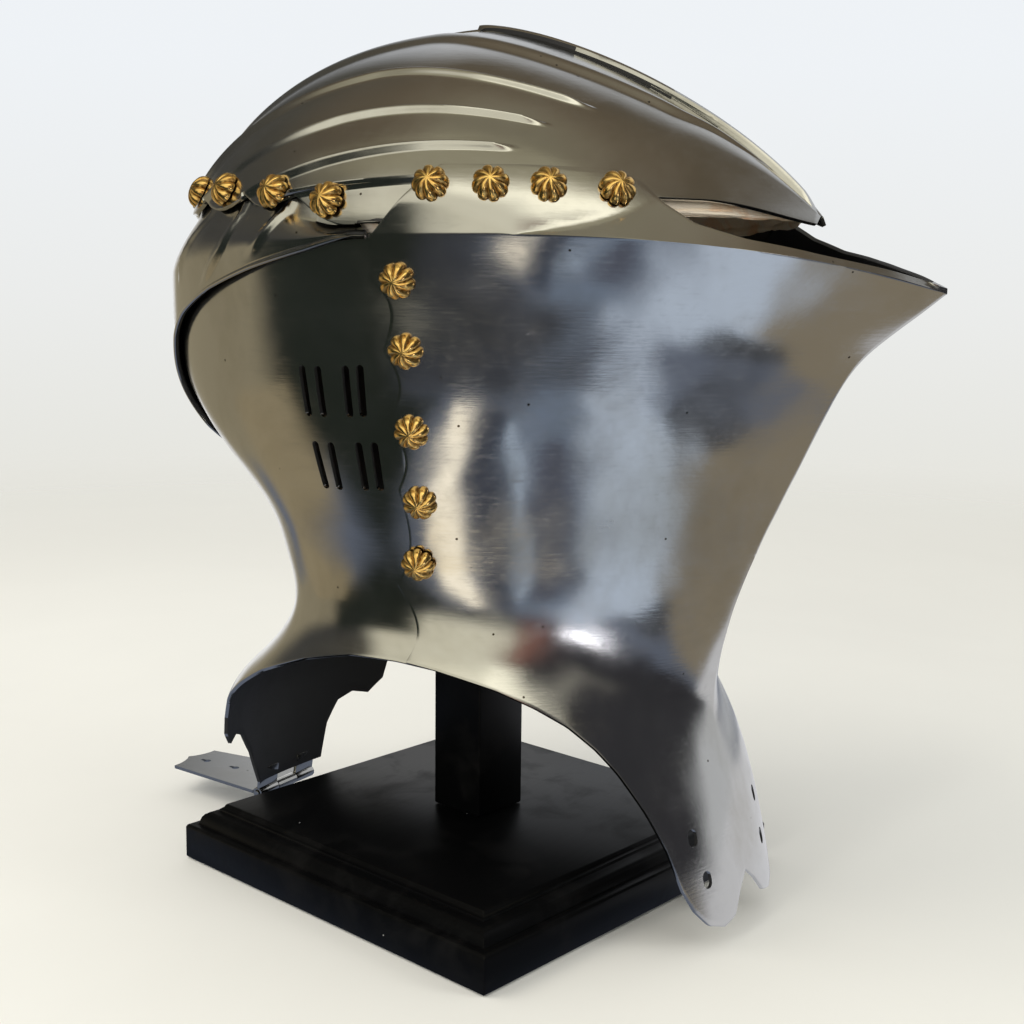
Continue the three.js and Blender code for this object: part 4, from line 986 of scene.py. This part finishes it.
def make_leather():
    material, tree, shader, place = new_material("tan leather", (0.7, 0.5, 0.33), Roughness=0.8)
    stain = use_group(tree, BLOTCHES, Place=place, Scale=20.0, Low=0.5, High=0.66).outputs["Mask"]
    rub = use_group(tree, BLOTCHES, Place=place, Scale=70.0, Low=0.5, High=0.7).outputs["Mask"]
    colour = blend_colour(tree, stain, (0.86, 0.72, 0.54), (0.78, 0.40, 0.16))
    colour = blend_colour(tree, rub, colour, (0.92, 0.83, 0.70))
    tree.links.new(colour, shader.inputs["Base Color"])
    tree.links.new(stretch(tree, rub, 0, 1, 0.68, 0.86), shader.inputs["Roughness"])
    grain = add_node(tree, "TexVoronoi", [("Vector", place), ("Scale", 700.0)], feature="DISTANCE_TO_EDGE")
    crease = add_node(tree, "TexNoise", [("Vector", place), ("Scale", 90.0), ("Detail", 5.0)])
    height = add_up(tree, stretch(tree, grain.outputs["Distance"], 0, 0.4, 0, 0.3), crease.outputs["Fac"])
    bump = add_node(tree, "Bump", [("Height", height), ("Strength", 0.5), ("Distance", 0.0008)])
    tree.links.new(bump.outputs["Normal"], shader.inputs["Normal"])
    return material


def make_black_wood():
    material, tree, shader, place = new_material("black lacquered wood", (0.01, 0.01, 0.01),
                                                 Specular_IOR_Level=0.12)
    dust = use_group(tree, SPECKS, Place=place, Scale=110.0, Size=0.055, Share=0.12).outputs["Mask"]
    scuff = use_group(tree, BLOTCHES, Place=place, Scale=30.0, Low=0.5, High=0.75).outputs["Mask"]
    colour = blend_colour(tree, scuff, (0.0018, 0.0018, 0.0018), (0.007, 0.0065, 0.006))
    colour = blend_colour(tree, dust, colour, (0.32, 0.31, 0.29))
    tree.links.new(colour, shader.inputs["Base Color"])
    tree.links.new(stretch(tree, scuff, 0, 1, 0.36, 0.52), shader.inputs["Roughness"])
    along = add_node(tree, "Mapping", [("Vector", place), ("Scale", (30.0, 260.0, 260.0))])
    grain = add_node(tree, "TexNoise", [("Vector", along.outputs["Vector"]), ("Scale", 1.0), ("Detail", 4.0)])
    bump = add_node(tree, "Bump", [("Height", grain.outputs["Fac"]), ("Strength", 0.12),
                                   ("Distance", 0.0005)])
    tree.links.new(bump.outputs["Normal"], shader.inputs["Normal"])
    return material


# Pieces
steel, brass, leather, black_wood = make_steel(), make_brass(), make_leather(), make_black_wood()
make_face_plate(steel)
make_back_plate(steel)
make_nape_plate(steel)
make_skull(steel)
make_rivets(brass)
make_liner(leather)
dress_hasp(steel)
make_hinge(steel)
make_stand(black_wood)

# Floor, light and camera
CAMERA_PLACE = Vector((-652.43, -423.69, 320.9)) * MM
CAMERA_TURN, CAMERA_PITCH, CAMERA_ROLL = math.radians(33 - 1.33), math.radians(8.559), math.radians(0.6333)
FOCAL_PIXELS, FRAME_PIXELS, SENSOR = 1390.06, 1024, 36.0


def make_camera():
    level = Vector((math.cos(CAMERA_TURN), math.sin(CAMERA_TURN), 0))
    right = Vector((math.sin(CAMERA_TURN), -math.cos(CAMERA_TURN), 0))
    forward = level * math.cos(CAMERA_PITCH) - Vector((0, 0, 1)) * math.sin(CAMERA_PITCH)
    down = forward.cross(right)
    rolled_right = right * math.cos(CAMERA_ROLL) - down * math.sin(CAMERA_ROLL)
    rolled_down = right * math.sin(CAMERA_ROLL) + down * math.cos(CAMERA_ROLL)
    data = bpy.data.cameras.new("camera")
    data.sensor_fit = "HORIZONTAL"
    data.sensor_width = SENSOR
    data.lens = FOCAL_PIXELS / FRAME_PIXELS * SENSOR
    data.clip_start = 0.01
    camera = bpy.data.objects.new("camera", data)
    bpy.context.scene.collection.objects.link(camera)
    turn = Matrix((rolled_right, -rolled_down, -forward)).transposed().to_4x4()
    camera.matrix_world = Matrix.Translation(CAMERA_PLACE) @ turn
    bpy.context.scene.camera = camera


def area_light(name, place, target, size, power, colour=(1, 1, 1)):
    data = bpy.data.lights.new(name, "AREA")
    data.shape = "RECTANGLE"
    data.size, data.size_y = size
    data.energy = power
    data.color = colour
    light = bpy.data.objects.new(name, data)
    bpy.context.scene.collection.objects.link(light)
    light.location = place
    light.visible_glossy = False
    light.rotation_euler = (Vector(target) - Vector(place)).to_track_quat("-Z", "Y").to_euler()
    return light


FLOOR_COLOUR = (0.80, 0.76, 0.66)
TO_CAMERA = (-math.cos(CAMERA_TURN), -math.sin(CAMERA_TURN), 0)
TO_RIGHT = (math.sin(CAMERA_TURN), -math.cos(CAMERA_TURN), 0)
# The pale sweep behind the object, by height of the line of sight (0 straight down, 1 straight up)
SWEEP = ((0.0, (0.78, 0.74, 0.64)), (0.40, (0.78, 0.76, 0.68)), (0.455, (0.80, 0.80, 0.76)),
         (0.50, (0.83, 0.84, 0.83)), (0.58, (0.86, 0.89, 0.92)), (1.0, (0.84, 0.88, 0.95)))
# The room that the steel mirrors: colour by height of the line of sight in degrees, then softly edged
# things in it by bearing (0 on the camera's side), half width, height, half height and softness
ROOM_HEIGHTS = ((-90, (0.10, 0.10, 0.11)), (-45, (0.07, 0.075, 0.09)), (-10, (0.04, 0.045, 0.055)),
                (35, (0.08, 0.075, 0.06)), (60, (0.15, 0.12, 0.08)), (90, (0.33, 0.28, 0.20)))
ROOM = (
    ("upper_ceiling", 0, 190, 90, 17, 16, (0.27, 0.245, 0.175)),
    ("lamplit_ceiling", -15, 76, 66, 20, 22, (0.40, 0.37, 0.26)),
    ("lamplit_wall", 6, 40, 44, 14, 16, (1.7, 1.64, 1.34)),
    ("pale_backdrop", 142, 50, 14, 31, 14, (0.62, 0.64, 0.67)),
    ("left_wall", -135, 45, -14, 24, 14, (0.32, 0.28, 0.19)),
    ("left_gleam", -168, 14, -6, 14, 12, (0.95, 0.95, 0.95)),
    ("front_wall", -28, 36, 20, 28, 18, (0.95, 0.92, 0.75)),
    ("red_cloth", 14, 6, 6, 20, 16, (0.30, 0.13, 0.10)),
    ("dark_shelf", 55, 36, 8, 30, 16, (0.035, 0.035, 0.04)),
    ("pale_box", 38, 6, 24, 14, 12, (0.26, 0.25, 0.22)),
    ("dark_door", -64, 28, -18, 36, 14, (0.02, 0.025, 0.02)),
    ("window", 29, 5, -13, 5, 6, (4.2, 4.2, 4.6)),
)
# Painted reflections of what lies on the table in front: patches that the floor shows, glowing, to glossy
# rays only. Place to the camera's right and towards it in mm, with their half sizes, and softness
TABLE_REFLECTIONS = (
    ("table_top", 60, 560, 120, 560, 160, (0.15, 0.175, 0.235)),
    ("far_left", -700, 320, -60, 210, 120, (0.36, 0.30, 0.19)),
    ("shade_left", -400, 200, 420, 240, 100, (0.02, 0.025, 0.02)),
    ("behind_right", 400, 260, -100, 260, 80, (0.75, 0.76, 0.80)),
    ("white_cloth", 248, 72, 430, 190, 56, (0.62, 0.72, 0.88)),
    ("dark_hem", 360, 40, 370, 80, 40, (0.07, 0.075, 0.085)),
    ("beige_right", 400, 110, 232, 80, 50, (0.29, 0.25, 0.185)),
    ("white_near", 110, 80, 560, 120, 100, (0.20, 0.25, 0.34)),
    ("dark_fold", -5, 45, 470, 130, 40, (0.05, 0.06, 0.09)),
    ("blue_streak", 45, 12, 430, 90, 20, (0.55, 0.66, 0.82)),
    ("second_fold", 105, 30, 400, 70, 30, (0.10, 0.11, 0.15)),
    ("cream_strip", -98, 34, 430, 190, 36, (1.5, 1.38, 1.15)),
    ("cream_near", -10, 120, 272, 40, 36, (1.25, 1.08, 0.78)),
)


def make_soft_patch():
    """Lays a softly edged rectangle of a colour over what lies below it."""
    tree, given, result = group_tree(
        "soft patch", [("Below", "Color", None), ("Colour", "Color", None), ("Across", "Float", 0.0),
                       ("Up", "Float", 0.0), ("Half Width", "Float", 1.0), ("Half Height", "Float", 1.0),
                       ("Softness", "Float", 1.0)], [("Colour", "Color")])
    shares = []
    for place, half in (("Across", "Half Width"), ("Up", "Half Height")):
        size = add_node(tree, "Math", [(0, given.outputs[place])], operation="ABSOLUTE").outputs[0]
        soft = add_node(tree, "Math", [(0, given.outputs["Softness"]), (1, 0.5)],
                        operation="MULTIPLY").outputs[0]
        low = add_node(tree, "Math", [(0, given.outputs[half]), (1, soft)], operation="SUBTRACT").outputs[0]
        high = add_node(tree, "Math", [(0, given.outputs[half]), (1, soft)], operation="ADD").outputs[0]
        edge = add_node(tree, "MapRange", [("Value", size), ("From Min", low), ("From Max", high),
                                           ("To Min", 1.0), ("To Max", 0.0)], interpolation_type="SMOOTHSTEP")
        shares.append(edge.outputs["Result"])
    share = add_node(tree, "Math", [(0, shares[0]), (1, shares[1])], operation="MULTIPLY").outputs[0]
    tree.links.new(blend_colour(tree, share, given.outputs["Below"], given.outputs["Colour"]),
                   result.inputs["Colour"])
    return tree


SOFT_PATCH = make_soft_patch()


def lay_patches(tree, colour, across, up, table, whole_turn=False):
    for name, middle, half, height, half_height, softness, tint in table:
        aside = add_node(tree, "Math", [(0, across), (1, middle)], operation="SUBTRACT").outputs[0]
        if whole_turn:
            aside = add_node(tree, "Math", [(0, aside), (1, 180.0), (2, -180.0)], operation="WRAP").outputs[0]
        over = add_node(tree, "Math", [(0, up), (1, height)], operation="SUBTRACT").outputs[0]
        patch = use_group(tree, SOFT_PATCH, Across=aside, Up=over, Below=colour, Colour=(*tint, 1))
        patch.label = name
        patch.inputs["Half Width"].default_value = half
        patch.inputs["Half Height"].default_value = half_height
        patch.inputs["Softness"].default_value = softness
        colour = patch.outputs["Colour"]
    return colour


def dot(tree, vector, direction):
    product = add_node(tree, "VectorMath", [(0, vector), (1, direction)], operation="DOT_PRODUCT")
    return product.outputs["Value"]


def make_floor():
    bpy.ops.mesh.primitive_circle_add(vertices=96, radius=3.2, fill_type="NGON")
    floor = bpy.context.active_object
    floor.name = "floor"
    material, tree, shader, place = new_material("pale paper", FLOOR_COLOUR, Roughness=0.8)
    cloud = use_group(tree, BLOTCHES, Place=place, Scale=2.2, Low=0.3, High=0.75).outputs["Mask"]
    tree.links.new(blend_colour(tree, cloud, FLOOR_COLOUR, tuple(0.96 * c for c in FLOOR_COLOUR)),
                   shader.inputs["Base Color"])
    distance = add_node(tree, "VectorMath", [(0, place)], operation="LENGTH").outputs["Value"]
    fade = stretch(tree, distance, 0.7, 2.2)
    ghost = add_node(tree, "BsdfTransparent").outputs["BSDF"]
    paper = add_node(tree, "MixShader", [("Fac", fade)])
    tree.links.new(shader.outputs["BSDF"], paper.inputs[1])
    tree.links.new(ghost, paper.inputs[2])
    millimetres = add_node(tree, "VectorMath", [(0, place)], operation="SCALE")
    millimetres.inputs["Scale"].default_value = 1 / MM
    across = dot(tree, millimetres.outputs["Vector"], TO_RIGHT)
    towards = dot(tree, millimetres.outputs["Vector"], TO_CAMERA)
    # Beyond the table's patches the steel mirrors the room through the floor
    seen = lay_patches(tree, (0, 0, 0, 1), across, towards, TABLE_REFLECTIONS)
    cover = lay_patches(tree, (0, 0, 0, 1), across, towards, [row[:-1] + ((1, 1, 1),) for row in TABLE_REFLECTIONS])
    # Painted reflections: the floor glows with the table's patches for glossy rays only
    glossy_only_glow = add_node(tree, "Emission", [("Color", seen)])
    mirrored = add_node(tree, "AddShader")
    through = add_node(tree, "BsdfTransparent")
    tree.links.new(add_node(tree, "Invert", [("Color", cover)]).outputs["Color"], through.inputs["Color"])
    tree.links.new(glossy_only_glow.outputs["Emission"], mirrored.inputs[0])
    tree.links.new(through.outputs["BSDF"], mirrored.inputs[1])
    path = add_node(tree, "LightPath")
    chosen = add_node(tree, "MixShader", [("Fac", path.outputs["Is Glossy Ray"])])
    tree.links.new(paper.outputs["Shader"], chosen.inputs[1])
    tree.links.new(mirrored.outputs["Shader"], chosen.inputs[2])
    tree.links.new(chosen.outputs["Shader"], tree.nodes["Material Output"].inputs["Surface"])
    floor.data.materials.append(material)
    floor.location.z = -0.0005


def make_world():
    world = bpy.data.worlds.new("studio")
    bpy.context.scene.world = world
    world.use_nodes = True
    tree = world.node_tree
    tree.nodes.clear()
    way = add_node(tree, "TexCoord").outputs["Generated"]
    upward = add_node(tree, "SeparateXYZ", [("Vector", way)]).outputs["Z"]
    sweep = ramp(tree, stretch(tree, upward, -1.0, 1.0), SWEEP)
    rise = add_node(tree, "Math", [(0, upward)], operation="ARCSINE").outputs[0]
    rise = add_node(tree, "Math", [(0, rise)], operation="DEGREES").outputs[0]
    bearing = add_node(tree, "Math", [(0, dot(tree, way, TO_RIGHT)), (1, dot(tree, way, TO_CAMERA))],
                       operation="ARCTAN2").outputs[0]
    bearing = add_node(tree, "Math", [(0, bearing)], operation="DEGREES").outputs[0]
    stops = [((height + 90) / 180, tint) for height, tint in ROOM_HEIGHTS]
    room = ramp(tree, stretch(tree, rise, -90, 90), stops)
    room = lay_patches(tree, room, bearing, rise, ROOM, whole_turn=True)
    path = add_node(tree, "LightPath")
    colour = blend_colour(tree, path.outputs["Is Glossy Ray"], sweep, room)
    back = add_node(tree, "Background", [("Color", colour), ("Strength", 1.0)])
    output = add_node(tree, "OutputWorld")
    tree.links.new(back.outputs["Background"], output.inputs["Surface"])


bpy.context.scene.view_settings.view_transform = "Standard"
make_camera()
make_world()
make_floor()
area_light("key_softbox", (-0.9, 0.9, 1.7), (0, 0, 0.2), (1.1, 1.1), 14, (1.0, 0.98, 0.95))
area_light("window_strip", (-1.6, 0.1, 0.7), (0, 0, 0.25), (0.25, 1.3), 9, (0.95, 0.98, 1.0))
area_light("side_fill", (0.3, -1.7, 0.9), (0, 0, 0.25), (0.5, 1.0), 8, (0.92, 0.96, 1.0))
